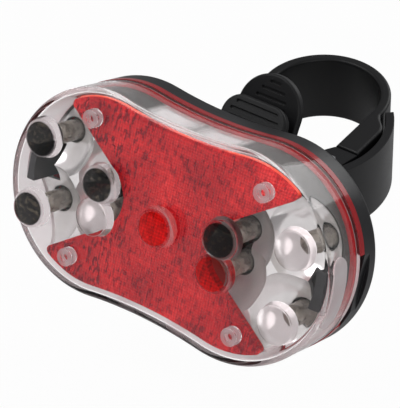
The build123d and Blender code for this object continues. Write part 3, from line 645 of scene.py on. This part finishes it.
def clear_finish(look):
    """Clear polycarbonate: flow lines, handling marks, frosting on tubes and pad, tinted bosses,
    painted shade and a painted red reflection in some lenses, painted light at the seam and on the
    wall.
    """
    f = Finish("clear_polycarbonate")
    place = f.place()
    x, y, z = f.lamp_axes(place)
    side, edge = off_line(x, z)
    flow = f.grain(place, size=9.0, detail=1.0, stretch=(1, 0.4, 1))
    marks = f.grain(place, size=0.7, detail=3.0, stretch=(1, 1, 0.15)).above(0.62, soft=0.2)

    # Frosting on the tubes' ends and the end pad. Painted light on the seam face, for the light carried
    # along the wall to its end, and on the inside of the wall where it is lit, over the lower half and
    # the left end.
    bore = near_any(x, z, TUBE_PLACES, TUBE_BORE + TUBE_FROST_IN)
    ring = near_any(x, z, TUBE_PLACES, TUBE_R) - bore
    pad = edge.above(PAD_FROST_START, soft=0.1)
    seam = y.above(SEAM_GLOW_START, soft=0.05)
    lit_side = most(1 - upper_half(side, z), 1 - x.above(LEFT_END, LEFT_END_SOFT))
    inside = (1 - edge.above(WALL_MIDDLE, soft=0.1)) * y.above(WALL_FRONT, soft=0.3)
    frost_and_glow = most(ring * 0.4, inside * lit_side * 0.45, pad * 0.85, seam * 0.9)

    # The tinted places: the bosses, and the lenses painted with the shade of the dark wells under them
    # and with a painted reflection of the red plate.
    on_lens = 1 - y.above(PAINTED_VIEW_START, soft=0.4)
    smoky = near_any(x, z, [LED_PLACES[i] for i in WELL_SHADED_LENSES], PAINTED_VIEW_R) * on_lens
    red_view = near_any(x, z, [LED_PLACES[i] for i in RED_VIEW_LENSES], PAINTED_VIEW_R) * on_lens
    fleck = f.grain(place, size=0.9, detail=3.0).above(0.6, soft=0.15)
    # Painted shade: the dark well seen through the lens, with fine flecks.
    smoke = f.blend(fleck, look.well_shade, WELL_SHADE_FLECK)
    bosses = near_any(x, z, LED_PLACES, BOSS_TINT_R) * (1 - y.above(BOSS_TINT_START, soft=0.1))
    tint = f.blend(bosses, look.cover_tint, BOSS_TINT)
    tint = f.blend(red_view, tint, PAINTED_RED_VIEW)

    glass = f.skin(
        Base_Color=f.blend(smoky, tint, smoke),
        Roughness=0.02 + marks * 0.05,
        IOR=COVER_IOR,
        Transmission_Weight=1.0,
        Specular_IOR_Level=0.5,
        Normal=f.bump(flow, mm(look.cover_wave)),
    )
    streak = f.grain(place, size=5.0, detail=3.0)
    # This pale pink-grey skin frosts the tubes and pad, and paints the light at the seam and on the lit
    # inside of the wall.
    frost_and_glow_skin = f.skin(Base_Color=f.blend(streak, FROST_AND_GLOW_DARK, FROST_AND_GLOW_PALE), Roughness=0.35 + streak * 0.2)
    shown = f.mixed(frost_and_glow, glass, frost_and_glow_skin)
    return f.end(f.lets_light_in(shown, 0.92, look.cover_tint))


def prism_height(f, place, pitch):
    """Height of hexagonal corner-cube prisms, and how far a point is from its prism's middle."""
    x, _, z = f.axes(place)
    wide, high = pitch, pitch * math.sqrt(3)

    def cell(dx, dz):
        u = (x + dx) % wide - wide / 2
        v = (z + dz) % high - high / 2
        return u, v, u * u + v * v

    ua, va, near_a = cell(0.0, 0.0)
    ub, vb, near_b = cell(wide / 2, high / 2)
    pick = near_a.maths("LESS_THAN", near_b)
    u = ua * pick + ub * (1 - pick)
    v = va * pick + vb * (1 - pick)
    slopes = [math.radians(turn) for turn in PRISM_SLOPES]
    height = most(*[u * math.cos(a) + v * math.sin(a) for a in slopes])
    return height / pitch, reach(u, v) / pitch


def prism_finish(look):
    """Red prism reflector: corner cubes under a smooth red face, with a painted highlight on its upper
    rim.
    """
    f = Finish("red_prisms")
    place = f.place()
    pitch = mm(look.prism_pitch)
    x, _, z = f.lamp_axes(place)
    height, away = prism_height(f, place, pitch)
    broad = f.grain(place, size=12.0)
    fleck = f.grain(place, size=0.8)

    # Short upright dashes that thin out to the right, and a fine weave.
    dash = f.grain(place, size=0.6, detail=1.0, stretch=(1, 1, 0.42)).above(0.575, soft=0.06)
    dash = dash * (1 - x.above(DASH_FADE, DASH_FADE_SOFT) * 0.6)
    weave = ((x * WEAVE_TURN).maths("SINE") + (z * WEAVE_TURN).maths("SINE")) * 0.07
    mix = broad * 0.8 + fleck * 0.35 - 0.2 + away * -0.12 - dash * 0.5 + weave
    stops = [(0.0, PRISM_SHADE), (0.35, look.red_deep), (0.62, look.red_bright), (1.0, look.red_haze)]
    red = f.node("ShaderNodeValToRGB", {"stops": stops}, Fac=mix)

    # Painted highlight: side edges near the outline that face upward are coloured a bright orange-red.
    _, facing, up = f.facing()
    _, edge = off_line(x, z)
    sideways = 1 - facing.maths("ABSOLUTE").above(0.2, soft=0.2)
    rim = sideways * up.above(0.2, soft=0.3) * edge.above(PLATE_RIM, soft=0.4)
    smooth = near_any(x, z, LED_PLACES[:1], PLATE_SMOOTH_R, soft=2.0)
    body = f.skin(
        Base_Color=f.blend(rim, red, PRISM_RIM_HIGHLIGHT),
        Roughness=0.3 + fleck * 0.14,
        IOR=PLASTIC_IOR,
        Specular_IOR_Level=0.1,
        Coat_Weight=0.12,
        Coat_Roughness=0.05,
        Coat_IOR=PLASTIC_IOR,
        Normal=f.bump(height * (1 - smooth), pitch * 0.16),
    )
    return f.end(body)


def chrome_finish(look):
    """Metallised plastic, wavy and hazy: painted shade in the holes and round the diodes' bases, a
    painted dark reflection on the upper rim and a painted pale light on the lower rim.
    """
    f = Finish("metallised_plastic")
    place = f.place()
    wave = f.grain(place, size=6.0, detail=1.0)
    haze = f.grain(place, size=1.4, detail=4.0)
    x, _, z = f.lamp_axes(place)
    _, facing, _ = f.facing()
    wall = 1 - facing.maths("ABSOLUTE").above(0.12, soft=0.1)
    slots = near_any(x, z, PAIR_MIDDLES, BOWL_SLOT_R)
    holes = most(near_any(x, z, LED_PLACES, BOWL_HOLE_R), slots)
    side, edge = off_line(x, z)
    upper = upper_half(side, z)
    rim = edge.above(BOWL_RIM, soft=0.3)
    lit_lower_rim = rim * (1 - upper)
    # Painted shade in the holes' walls and round the diodes' bases, a painted dark reflection on the
    # upper rim, and painted light as a pale lower rim; these places are also duller.
    bare = most(wall * holes, rim * upper, near_any(x, z, LED_PLACES, BOWL_BASE_R))
    dull = most(bare, lit_lower_rim)
    metal = f.blend(haze, look.chrome_dark, look.chrome_light)
    lit_rim_colour = f.blend(f.grain(place, size=5.0, detail=3.0), LIT_RIM_DARK, LIT_RIM_PALE)
    body = f.skin(
        Base_Color=f.blend(bare, f.blend(lit_lower_rim, metal, lit_rim_colour), PAINTED_DARK),
        Metallic=0.55 - dull * 0.55,
        Roughness=0.09 + haze * 0.08 + dull * 0.35,
        Normal=f.bump(wave, depth=0.04),
    )
    return f.end(body)


def black_finish(look, name, tone, rough, pore_depth):
    """Black moulded plastic: fine spark-eroded grain, and edges a little polished and lighter, partly
    wear and partly a painted highlight.
    """
    f = Finish(name)
    place = f.place()
    pores = f.grain(place, size=0.16)
    cloud = f.grain(place, size=7.0, detail=3.0)
    # Sharp edges are lighter and a little smoother: partly wear, partly a painted highlight.
    worn_and_lit_edge = f.node("ShaderNodeNewGeometry", output="Pointiness").above(0.56, soft=0.1)
    colour = f.blend(worn_and_lit_edge * 0.35, shade(look.black, tone), shade(look.black, tone * 2.6))
    body = f.skin(
        Base_Color=f.blend(cloud * 0.3, colour, shade(look.black, tone * 1.6)),
        Roughness=rough + cloud * 0.12 - worn_and_lit_edge * 0.08,
        IOR=PLASTIC_IOR,
        Specular_IOR_Level=0.4,
        Normal=f.bump(pores, pore_depth, Normal=f.rounded(radius=0.25)),
    )
    return f.end(body)


def steel_finish(name, colour, rough):
    """Turned and plated steel with fine lines."""
    f = Finish(name)
    lines = f.grain(f.place(), size=0.25, detail=3.0, stretch=(0.2, 1, 1))
    body = f.skin(
        Base_Color=f.blend(lines, shade(colour, 0.82), colour),
        Metallic=1.0,
        Roughness=rough + lines * 0.12,
        Normal=f.bump(lines, depth=0.01, Normal=f.rounded(radius=0.12)),
    )
    return f.end(body)


def rubber_finish(look):
    """Black rubber, dull and a little dusty."""
    f = Finish("black_rubber")
    dust = f.grain(f.place(), size=0.5, detail=4.0)
    body = f.skin(
        Base_Color=f.blend(dust, shade(look.black, 0.8), shade(look.black, 1.5)),
        Roughness=0.72 + dust * 0.15,
        Sheen_Weight=0.15,
        Normal=f.bump(dust, depth=0.03),
    )
    return f.end(body)


def red_moulding_finish():
    """Transparent red moulding seen edge on."""
    f = Finish("red_moulding")
    streak = f.grain(f.place(), size=2.5, detail=3.0, stretch=(1, 3, 1))
    body = f.skin(
        Base_Color=f.blend(streak, RED_MOULDING_DARK, RED_MOULDING_PALE),
        Roughness=0.12 + streak * 0.1,
        Specular_IOR_Level=0.25,
        Coat_Weight=0.3,
        Coat_Roughness=0.05,
        Normal=f.bump(streak, depth=0.02),
    )
    return f.end(body)


def epoxy_finish(look):
    """Clear epoxy of the diodes, a little cloudy, with a smoky tint."""
    f = Finish("clear_epoxy")
    place = f.place()
    flow = f.grain(place, size=1.2)
    glass = f.skin(
        Base_Color=look.epoxy,
        Roughness=0.04 + flow * 0.06,
        IOR=EPOXY_IOR,
        Transmission_Weight=1.0,
        Normal=f.bump(flow, depth=0.06),
    )
    cloud = f.grain(place, size=1.6, detail=3.0)
    haze = f.skin(Base_Color=f.blend(cloud, EPOXY_CLOUD_DARK, EPOXY_CLOUD_PALE), Roughness=0.3)
    shown = f.mixed(0.1 + cloud.above(0.35, soft=0.3) * 0.45, glass, haze)
    return f.end(f.lets_light_in(shown, 0.85, look.epoxy))


def board_finish():
    """Solder mask over copper tracks."""
    f = Finish("solder_mask")
    place = f.place()
    x, _, z = f.axes(place)
    upright = (x % TRACK_PITCH_X).above(TRACK_GAP_X, soft=0.1)
    tracks = upright * (z % TRACK_PITCH_Z).above(TRACK_GAP_Z, soft=0.1)
    weave = f.grain(place, size=0.4)
    body = f.skin(
        Base_Color=f.blend(tracks, SOLDER_MASK, SOLDER_TRACK),
        Roughness=0.3 + weave * 0.1,
        Normal=f.bump(tracks, depth=0.04),
    )
    return f.end(body)


def cell_finish():
    """Plain sleeved cells: a dark sleeve, a copper-coloured band at one end and bare metal ends."""
    f = Finish("cell_sleeve")
    place = f.place()
    x, _, z = f.axes(place)

    # The upper cell lies one way round and the lower cell the other.
    way = z.above(-POST_ABOVE, soft=0.02) * 2 - 1
    along = x * way
    band = along.above(CELL_BAND_START, soft=0.1)
    bare = along.maths("ABSOLUTE").above(CELL_END_START, soft=0.05)
    scuff = f.grain(place, size=1.5, detail=4.0)
    body = f.skin(
        Base_Color=f.blend(bare, f.blend(band, CELL_SLEEVE, CELL_BAND), CELL_END),
        Metallic=most(band, bare),
        Roughness=0.28 + scuff * 0.15,
        Normal=f.bump(scuff, depth=0.01),
    )
    return f.end(body)


# The clear cover


def boss(place, radius, segments):
    """A short tapered post with a softly domed end."""
    rim, end = radius - BOSS_RIM_IN, COVER_FRONT - BOSS_SIDE
    profile = [(radius, COVER_FRONT + BOSS_ROOT), (radius, COVER_FRONT)]
    for share in BOSS_TAPER_SHARES:
        profile.append((radius - BOSS_TAPER * share, COVER_FRONT - BOSS_SIDE * share))
    for i in range(1, BOSS_SOFT_STEPS):
        a = math.pi / 2 * i / BOSS_SOFT_STEPS
        profile.append((rim - BOSS_SOFT * (1 - math.cos(a)), end + BOSS_SOFT * (1 - math.sin(a))))
    dome, rise = rim - BOSS_SOFT, BOSS_TOP - BOSS_SIDE
    ball = (dome**2 + rise**2) / (2 * rise)
    for i in range(BOSS_DOME_STEPS):
        out = dome * (1 - i / BOSS_DOME_STEPS)
        profile.append((out, end - (math.sqrt(ball**2 - out**2) - (ball - rise))))
    profile.append((0, COVER_FRONT - BOSS_TOP))
    return turned("boss", place, profile, segments)


def tube(place):
    """A short tube that stands on the red plate, with its ring showing on the face."""
    front = COVER_FRONT - TUBE_PROUD
    profile = [
        (TUBE_R - TUBE_SOFT, front),
        (TUBE_R, front + TUBE_SOFT),
        (TUBE_R, TUBE_END - TUBE_SOFT),
        (TUBE_R - TUBE_SOFT, TUBE_END),
    ]
    return turned("tube", place, profile, TUBE_SEGMENTS)


def tube_bore(place):
    """The blind bore up a tube from behind."""
    profile = [(TUBE_BORE, BORE_START), (TUBE_BORE, BORE_END + BORE_SOFT), (BORE_TIP_R, BORE_END)]
    return turned("bore", place, profile, BORE_SEGMENTS)


def end_pad():
    """The pad raised on the right end, with soft edges."""
    band = banded("band", -PAD_PROUD, PAD_ROOT, PAD_FRONT, PAD_BACK)
    back, front = PAD_BACK - PAD_CORNER, PAD_FRONT + PAD_CORNER
    high, low = PAD_MIDDLE + PAD_HALF - PAD_CORNER, PAD_MIDDLE - PAD_HALF + PAD_CORNER
    shape = []
    for quarter, (y, z) in enumerate([(back, high), (front, high), (front, low), (back, low)]):
        for i in range(PAD_CORNER_STEPS + 1):
            a = math.pi / 2 * (quarter + i / PAD_CORNER_STEPS)
            shape.append((y + PAD_CORNER * math.cos(a), z + PAD_CORNER * math.sin(a)))
    pad = combined(band, across("pad", shape, END_FROM, END_TO), "INTERSECT")
    return bevelled(pad, PAD_SOFT, PAD_SOFT_STEPS)


def ledges(inset):
    """The two ledges inside the ends, behind which the housing's hooks catch."""
    ring = banded("ring", inset - LEDGE_ROOT, LEDGE_REACH, LEDGE_FRONT, LEDGE_BACK)
    front, back = LEDGE_CUT_FRONT, LEDGE_CUT_BACK
    cut = [(front, -HOOK_HALF), (back, -HOOK_HALF), (back, HOOK_HALF), (front, HOOK_HALF)]
    ends = [across("right", cut, END_FROM, END_TO), across("left", cut, -END_TO, -END_FROM)]
    return combined(ring, joined("both", ends), "INTERSECT")


def cover_shell(look):
    """The whole cover: a rounded block with its bosses and pad, hollowed out, then ledges and tubes."""
    edge = arc_rows(COVER_EDGE, COVER_FRONT + COVER_EDGE, COVER_STEP, COVER_EDGE_STEPS)
    rows = [(COVER_STEP + SEAM_SOFT, COVER_SEAM), (COVER_STEP, COVER_SEAM - SEAM_SOFT)]
    rows += [(COVER_STEP, COVER_MIDDLE), *edge, *[(inset, COVER_FRONT) for inset in FACE_RINGS]]
    cover = lofted("cover", [level(outline(inset), depth) for inset, depth in rows])
    for place in LED_PLACES:
        cover = combined(cover, boss(place, mm(look.boss_radius), look.lens_steps), "UNION")
    cover = combined(cover, end_pad(), "UNION")

    inset = mm(look.cover_wall) + COVER_STEP
    inner = arc_rows(HOLLOW_EDGE, COVER_FRONT + COVER_FACE + HOLLOW_EDGE, inset, HOLLOW_EDGE_STEPS)
    rows = [(inset, HOLLOW_BACK), *inner]
    hollow = lofted("hollow", [level(outline(inset), depth) for inset, depth in rows])
    cover = combined(cover, hollow, "DIFFERENCE")
    cover = combined(cover, ledges(inset), "UNION")
    for place in TUBE_PLACES:
        cover = combined(cover, tube(place), "UNION")
        cover = combined(cover, tube_bore(place), "DIFFERENCE")
    return smoothed(cover)


# The diodes


def diode(name, place, tip):
    """A diode's clear body, with its flange and its domed tip."""
    middle = tip + LED_R
    profile = [
        (FLANGE_R, FLANGE_BACK),
        (FLANGE_R, FLANGE_FRONT + FLANGE_SOFT),
        (FLANGE_R - FLANGE_SOFT, FLANGE_FRONT),
        (LED_R, FLANGE_FRONT),
        (LED_R, middle),
    ]
    for i in range(1, LED_DOME_STEPS):
        a = math.pi / 2 * i / LED_DOME_STEPS
        profile.append((LED_R * math.cos(a), middle - LED_R * math.sin(a)))
    profile.append((0, tip))
    return smoothed(turned(name, place, profile, LED_SEGMENTS))


def lead_frame(name, place, move):
    """The post with the little cup, and the wire's post beside it, both moved ahead with the tip."""
    x, z = place
    cup_rows = [
        (STEM_R, STEM_BACK),
        (STEM_R, move + STEM_FRONT),
        (CUP_FOOT_R, move + CUP_FOOT),
        (CUP_R, move + CUP_TOP),
        (CUP_LIP_R, move + CUP_TOP),
        (CUP_WELL_R, move + CUP_WELL),
        (0, move + CUP_WELL),
    ]
    wire_rows = [
        (WIRE_R, STEM_BACK),
        (WIRE_R, move + CUP_FOOT),
        (WIRE_HEAD_R, move + CUP_WELL),
        (WIRE_HEAD_R, move + CUP_TOP),
        (0, move + CUP_TOP),
    ]
    cup = turned("cup", (x + CUP_ASIDE, z), cup_rows, CUP_SEGMENTS)
    post = turned("post", (x + WIRE_ASIDE, z), wire_rows, WIRE_SEGMENTS)
    return smoothed(joined(name, [cup, post]))


# The studio


def studio_camera():
    """A camera with the photograph's direction, distance and roll."""
    data = bpy.data.cameras.new("camera")
    data.lens, data.sensor_width = CAMERA_LENS, CAMERA_SENSOR
    data.clip_start, data.clip_end = CAMERA_NEAR, CAMERA_FAR
    turn = Matrix.Rotation(math.radians(CAMERA_TURN), 4, "Z")
    tip_up = Matrix.Rotation(math.radians(90 - CAMERA_RISE), 4, "X")
    roll = Matrix.Rotation(math.radians(CAMERA_ROLL), 4, "Z")
    away = Matrix.Translation(Vector((CAMERA_RIGHT, CAMERA_UP, CAMERA_AWAY)) / PER_METRE)
    camera = bpy.data.objects.new("camera", data)
    camera.matrix_world = Matrix.Translation(at(0, 0, 0)) @ turn @ tip_up @ roll @ away
    bpy.context.scene.collection.objects.link(camera)
    bpy.context.scene.camera = camera


def studio_world():
    """Plain light from all round, which the camera sees as white."""
    world = bpy.data.worlds.new("studio")
    bpy.context.scene.world = world
    world.use_nodes = True
    g = Graph(world.node_tree)
    plain = g.node("ShaderNodeBackground", Color=WORLD_GREY, Strength=WORLD_STRENGTH)
    white = g.node("ShaderNodeBackground", Color=WHITE, Strength=1.0)
    g.node("ShaderNodeOutputWorld", _0=g.mixed(g.in_view(), plain, white))


def studio_floor():
    """A pale floor under the light, low enough for it to tilt."""
    low = cad_box[0].z - FLOOR_DROP
    mesh = bmesh.new()
    corners = [(-1, -1), (1, -1), (1, 1), (-1, 1)]
    mesh.faces.new([mesh.verts.new((x * FLOOR_HALF, y * FLOOR_HALF, low)) for x, y in corners])
    floor = finished("floor", mesh)
    f = Finish("pale_floor")
    cloud = f.grain(f.place(), size=40.0)
    plain = f.skin(Base_Color=f.blend(cloud, FLOOR_DARK, FLOOR_PALE), Roughness=0.6)
    white = f.node("ShaderNodeEmission", Color=WHITE, Strength=1.0)
    floor.data.materials.append(f.end(f.mixed(f.in_view() * FLOOR_WHITENESS, plain, white)))


def studio_lamp(name, place, size, watts):
    """A round lamp at a place in metres from the light's middle, which it shines at."""
    data = bpy.data.lights.new(name, "AREA")
    data.shape, data.size, data.energy = "DISK", size, watts
    lamp = bpy.data.objects.new(name, data)
    lamp.location = Vector(place) + at(0, 0, 0)
    lamp.rotation_mode = "QUATERNION"
    lamp.rotation_quaternion = Vector(place).to_track_quat("Z", "Y")
    bpy.context.scene.collection.objects.link(lamp)


# Sizes and colours that a user would change


def tone(name, description, default):
    """A colour."""
    return FloatVectorProperty(
        name=name, description=description, default=default, subtype="COLOR", min=0, max=1
    )


def length(name, description, default):
    """A length, given here in millimetres."""
    metres = default / PER_METRE
    return FloatProperty(
        name=name, description=description, default=metres, min=0, precision=5, unit="LENGTH"
    )


class LampLook(bpy.types.PropertyGroup):
    """Sizes and colours of the light."""

    cover_tint: tone("Cover tint", "Colour of the clear cover", (0.97, 0.955, 0.96))
    cover_wave: length("Cover waviness", "Depth of the cover's flow marks", 0.02)
    cover_wall: length("Cover wall", "Wall of the clear cover", 1.5)
    boss_radius: length("Boss radius", "Radius of the lens bosses", 4.85)
    red_deep: tone("Deep red", "Darker red of the prisms", (0.5, 0.01, 0.016))
    red_bright: tone("Bright red", "Lighter red of the prisms", (0.82, 0.03, 0.033))
    red_haze: tone("Red haze", "Palest red of the prisms", (0.95, 0.2, 0.17))
    prism_pitch: length("Prism pitch", "Distance between prisms", 2.3)
    chrome_light: tone("Chrome light", "Lighter tone of the metallised plastic", (0.82, 0.815, 0.81))
    chrome_dark: tone("Chrome dark", "Darker tone of the metallised plastic", (0.72, 0.715, 0.71))
    black: tone("Black plastic", "Colour of the black mouldings", (0.007, 0.007, 0.0078))
    epoxy: tone("Diode epoxy", "Tint of the diodes", (0.8, 0.77, 0.7))
    # Painted shade: the colour of the lenses that show a dark well.
    well_shade: tone("Lens smoke", "Tint of the lenses over the dark wells", (0.002, 0.002, 0.002))
    lens_steps: IntProperty(
        name="Lens steps", description="Segments round each lens boss", default=72, min=12
    )
    lamp_power: FloatProperty(
        name="Studio light", description="Share of the studio lamps' power", default=1.0, min=0
    )


# Steps


class REARLIGHT_OT_stage(bpy.types.Operator):
    """Sets the camera, the world, the floor and the lamps"""

    bl_idname = "rear_light.stage"
    bl_label = "Studio and camera"
    bl_options = {"REGISTER", "UNDO"}

    def execute(self, context):
        power = context.scene.rear_light.lamp_power
        studio_camera()
        studio_world()
        studio_floor()
        context.scene.view_settings.view_transform = "Standard"
        cycles = context.scene.cycles
        cycles.max_bounces = cycles.transmission_bounces = CLEAR_BOUNCES
        cycles.glossy_bounces = METAL_BOUNCES
        studio_lamp("key_lamp", place=(-0.35, -0.45, 0.6), size=0.4, watts=1.7 * power)
        studio_lamp("fill_lamp", place=(0.55, -0.5, 0.25), size=0.4, watts=0.8 * power)
        studio_lamp("back_lamp", place=(0.1, 0.5, 0.5), size=0.5, watts=1.2 * power)
        return {"FINISHED"}


class REARLIGHT_OT_cover(bpy.types.Operator):
    """Builds the clear cover with its bosses and tubes"""

    bl_idname = "rear_light.cover"
    bl_label = "Clear cover"
    bl_options = {"REGISTER", "UNDO"}

    def execute(self, context):
        look = context.scene.rear_light
        dress(cover_shell(look), "light", clear_finish(look), "clear_plastic", "front_cover")
        return {"FINISHED"}


class REARLIGHT_OT_retro(bpy.types.Operator):
    """Finishes the red butterfly reflector"""

    bl_idname = "rear_light.retro"
    bl_label = "Prism reflector"
    bl_options = {"REGISTER", "UNDO"}

    def execute(self, context):
        paint(prism_finish(context.scene.rear_light), "red_reflector")
        return {"FINISHED"}


class REARLIGHT_OT_chrome(bpy.types.Operator):
    """Finishes the metallised bowls"""

    bl_idname = "rear_light.chrome"
    bl_label = "Metallised reflector"
    bl_options = {"REGISTER", "UNDO"}

    def execute(self, context):
        paint(chrome_finish(context.scene.rear_light), "chrome_reflector")
        return {"FINISHED"}


class REARLIGHT_OT_diodes(bpy.types.Operator):
    """Builds the nine diodes with the metal inside them"""

    bl_idname = "rear_light.diodes"
    bl_label = "Diodes"
    bl_options = {"REGISTER", "UNDO"}

    def execute(self, context):
        clear = epoxy_finish(context.scene.rear_light)
        metal = steel_finish("lead_frame", LEAD_STEEL, rough=0.35)
        for number, place in enumerate(LED_PLACES, 1):
            tip = LED_TIP_MIDDLE if number == 1 else LED_TIP
            body = diode(f"diode_{number}", place, tip)
            dress(body, "light", clear, "clear_led", f"led_{number}")
            inside = lead_frame(f"lead_frame_{number}", place, tip - LED_TIP_MIDDLE)
            dress(inside, "light", metal, "contact_metal")
        return {"FINISHED"}


class REARLIGHT_OT_housing(bpy.types.Operator):
    """Finishes the red frame, the black housing and its seals"""

    bl_idname = "rear_light.housing"
    bl_label = "Housing and frame"
    bl_options = {"REGISTER", "UNDO"}

    def execute(self, context):
        look = context.scene.rear_light
        paint(red_moulding_finish(), "red_frame")
        housing = black_finish(look, "black_housing", tone=1.35, rough=0.34, pore_depth=0.012)
        paint(housing, "rear_housing")
        paint(rubber_finish(look), "housing_gasket", "power_button", "saddle_pad")
        return {"FINISHED"}


class REARLIGHT_OT_inside(bpy.types.Operator):
    """Finishes the board, the cells and their contacts"""

    bl_idname = "rear_light.inside"
    bl_label = "Board and cells"
    bl_options = {"REGISTER", "UNDO"}

    def execute(self, context):
        look = context.scene.rear_light
        paint(board_finish(), "led_board")
        paint(cell_finish(), "battery_upper", "battery_lower")
        paint(steel_finish("nickel_contact", NICKEL, rough=0.25), "contact_left", "contact_right")
        paint(steel_finish("zinc_screw", ZINC, rough=0.3), "board_screws", "shoe_screws")
        paint(black_finish(look, "black_switch", tone=1.0, rough=0.5, pore_depth=0.01), "tact_switch")
        return {"FINISHED"}


class REARLIGHT_OT_bracket(bpy.types.Operator):
    """Finishes the shoe, the bracket, the latch lever and the small steel parts"""

    bl_idname = "rear_light.bracket"
    bl_label = "Bracket and latch"
    bl_options = {"REGISTER", "UNDO"}

    def execute(self, context):
        look = context.scene.rear_light
        bracket = black_finish(look, "black_bracket", tone=1.0, rough=0.42, pore_depth=0.018)
        paint(bracket, "mounting_shoe", "bracket_plate", "latch_lever")
        paint(steel_finish("hinge_pin", PIN_STEEL, rough=0.22), "lever_pin", "pawl_pin", "strap_pin")
        paint(steel_finish("spring_wire", SPRING_STEEL, rough=0.3), "lever_spring", "pawl_spring")
        paint(steel_finish("tilt_screw_steel", SCREW_STEEL, rough=0.3), "tilt_screw", "tilt_nut")
        return {"FINISHED"}


class REARLIGHT_OT_clamp(bpy.types.Operator):
    """Finishes the clamp, its strap and the pawl"""

    bl_idname = "rear_light.clamp"
    bl_label = "Clamp and strap"
    bl_options = {"REGISTER", "UNDO"}

    def execute(self, context):
        look = context.scene.rear_light
        clamp = black_finish(look, "black_clamp", tone=0.9, rough=0.4, pore_depth=0.014)
        paint(clamp, "clamp_base", "strap_pawl")
        paint(black_finish(look, "black_strap", tone=0.75, rough=0.38, pore_depth=0.01), "clamp_strap")
        return {"FINISHED"}


STEPS = (
    REARLIGHT_OT_stage,
    REARLIGHT_OT_cover,
    REARLIGHT_OT_retro,
    REARLIGHT_OT_chrome,
    REARLIGHT_OT_diodes,
    REARLIGHT_OT_housing,
    REARLIGHT_OT_inside,
    REARLIGHT_OT_bracket,
    REARLIGHT_OT_clamp,
)


class REARLIGHT_PT_steps(bpy.types.Panel):
    """Lists the settings of the dressing and its steps"""

    bl_idname = "REARLIGHT_PT_steps"
    bl_label = "Rear light"
    bl_space_type = "VIEW_3D"
    bl_region_type = "UI"
    bl_category = "Rear light"

    def draw(self, context):
        for name in LampLook.__annotations__:
            self.layout.prop(context.scene.rear_light, name)
        for step in STEPS:
            self.layout.operator(step.bl_idname)


CLASSES = (LampLook, *STEPS, REARLIGHT_PT_steps)


def register():
    for item in CLASSES:
        bpy.utils.register_class(item)
    bpy.types.Scene.rear_light = PointerProperty(type=LampLook)


def unregister():
    del bpy.types.Scene.rear_light
    for item in reversed(CLASSES):
        bpy.utils.unregister_class(item)


def main():
    register()
    for step in STEPS:
        group, name = step.bl_idname.split(".")
        getattr(getattr(bpy.ops, group), name)()


if __name__ == "__main__":
    main()
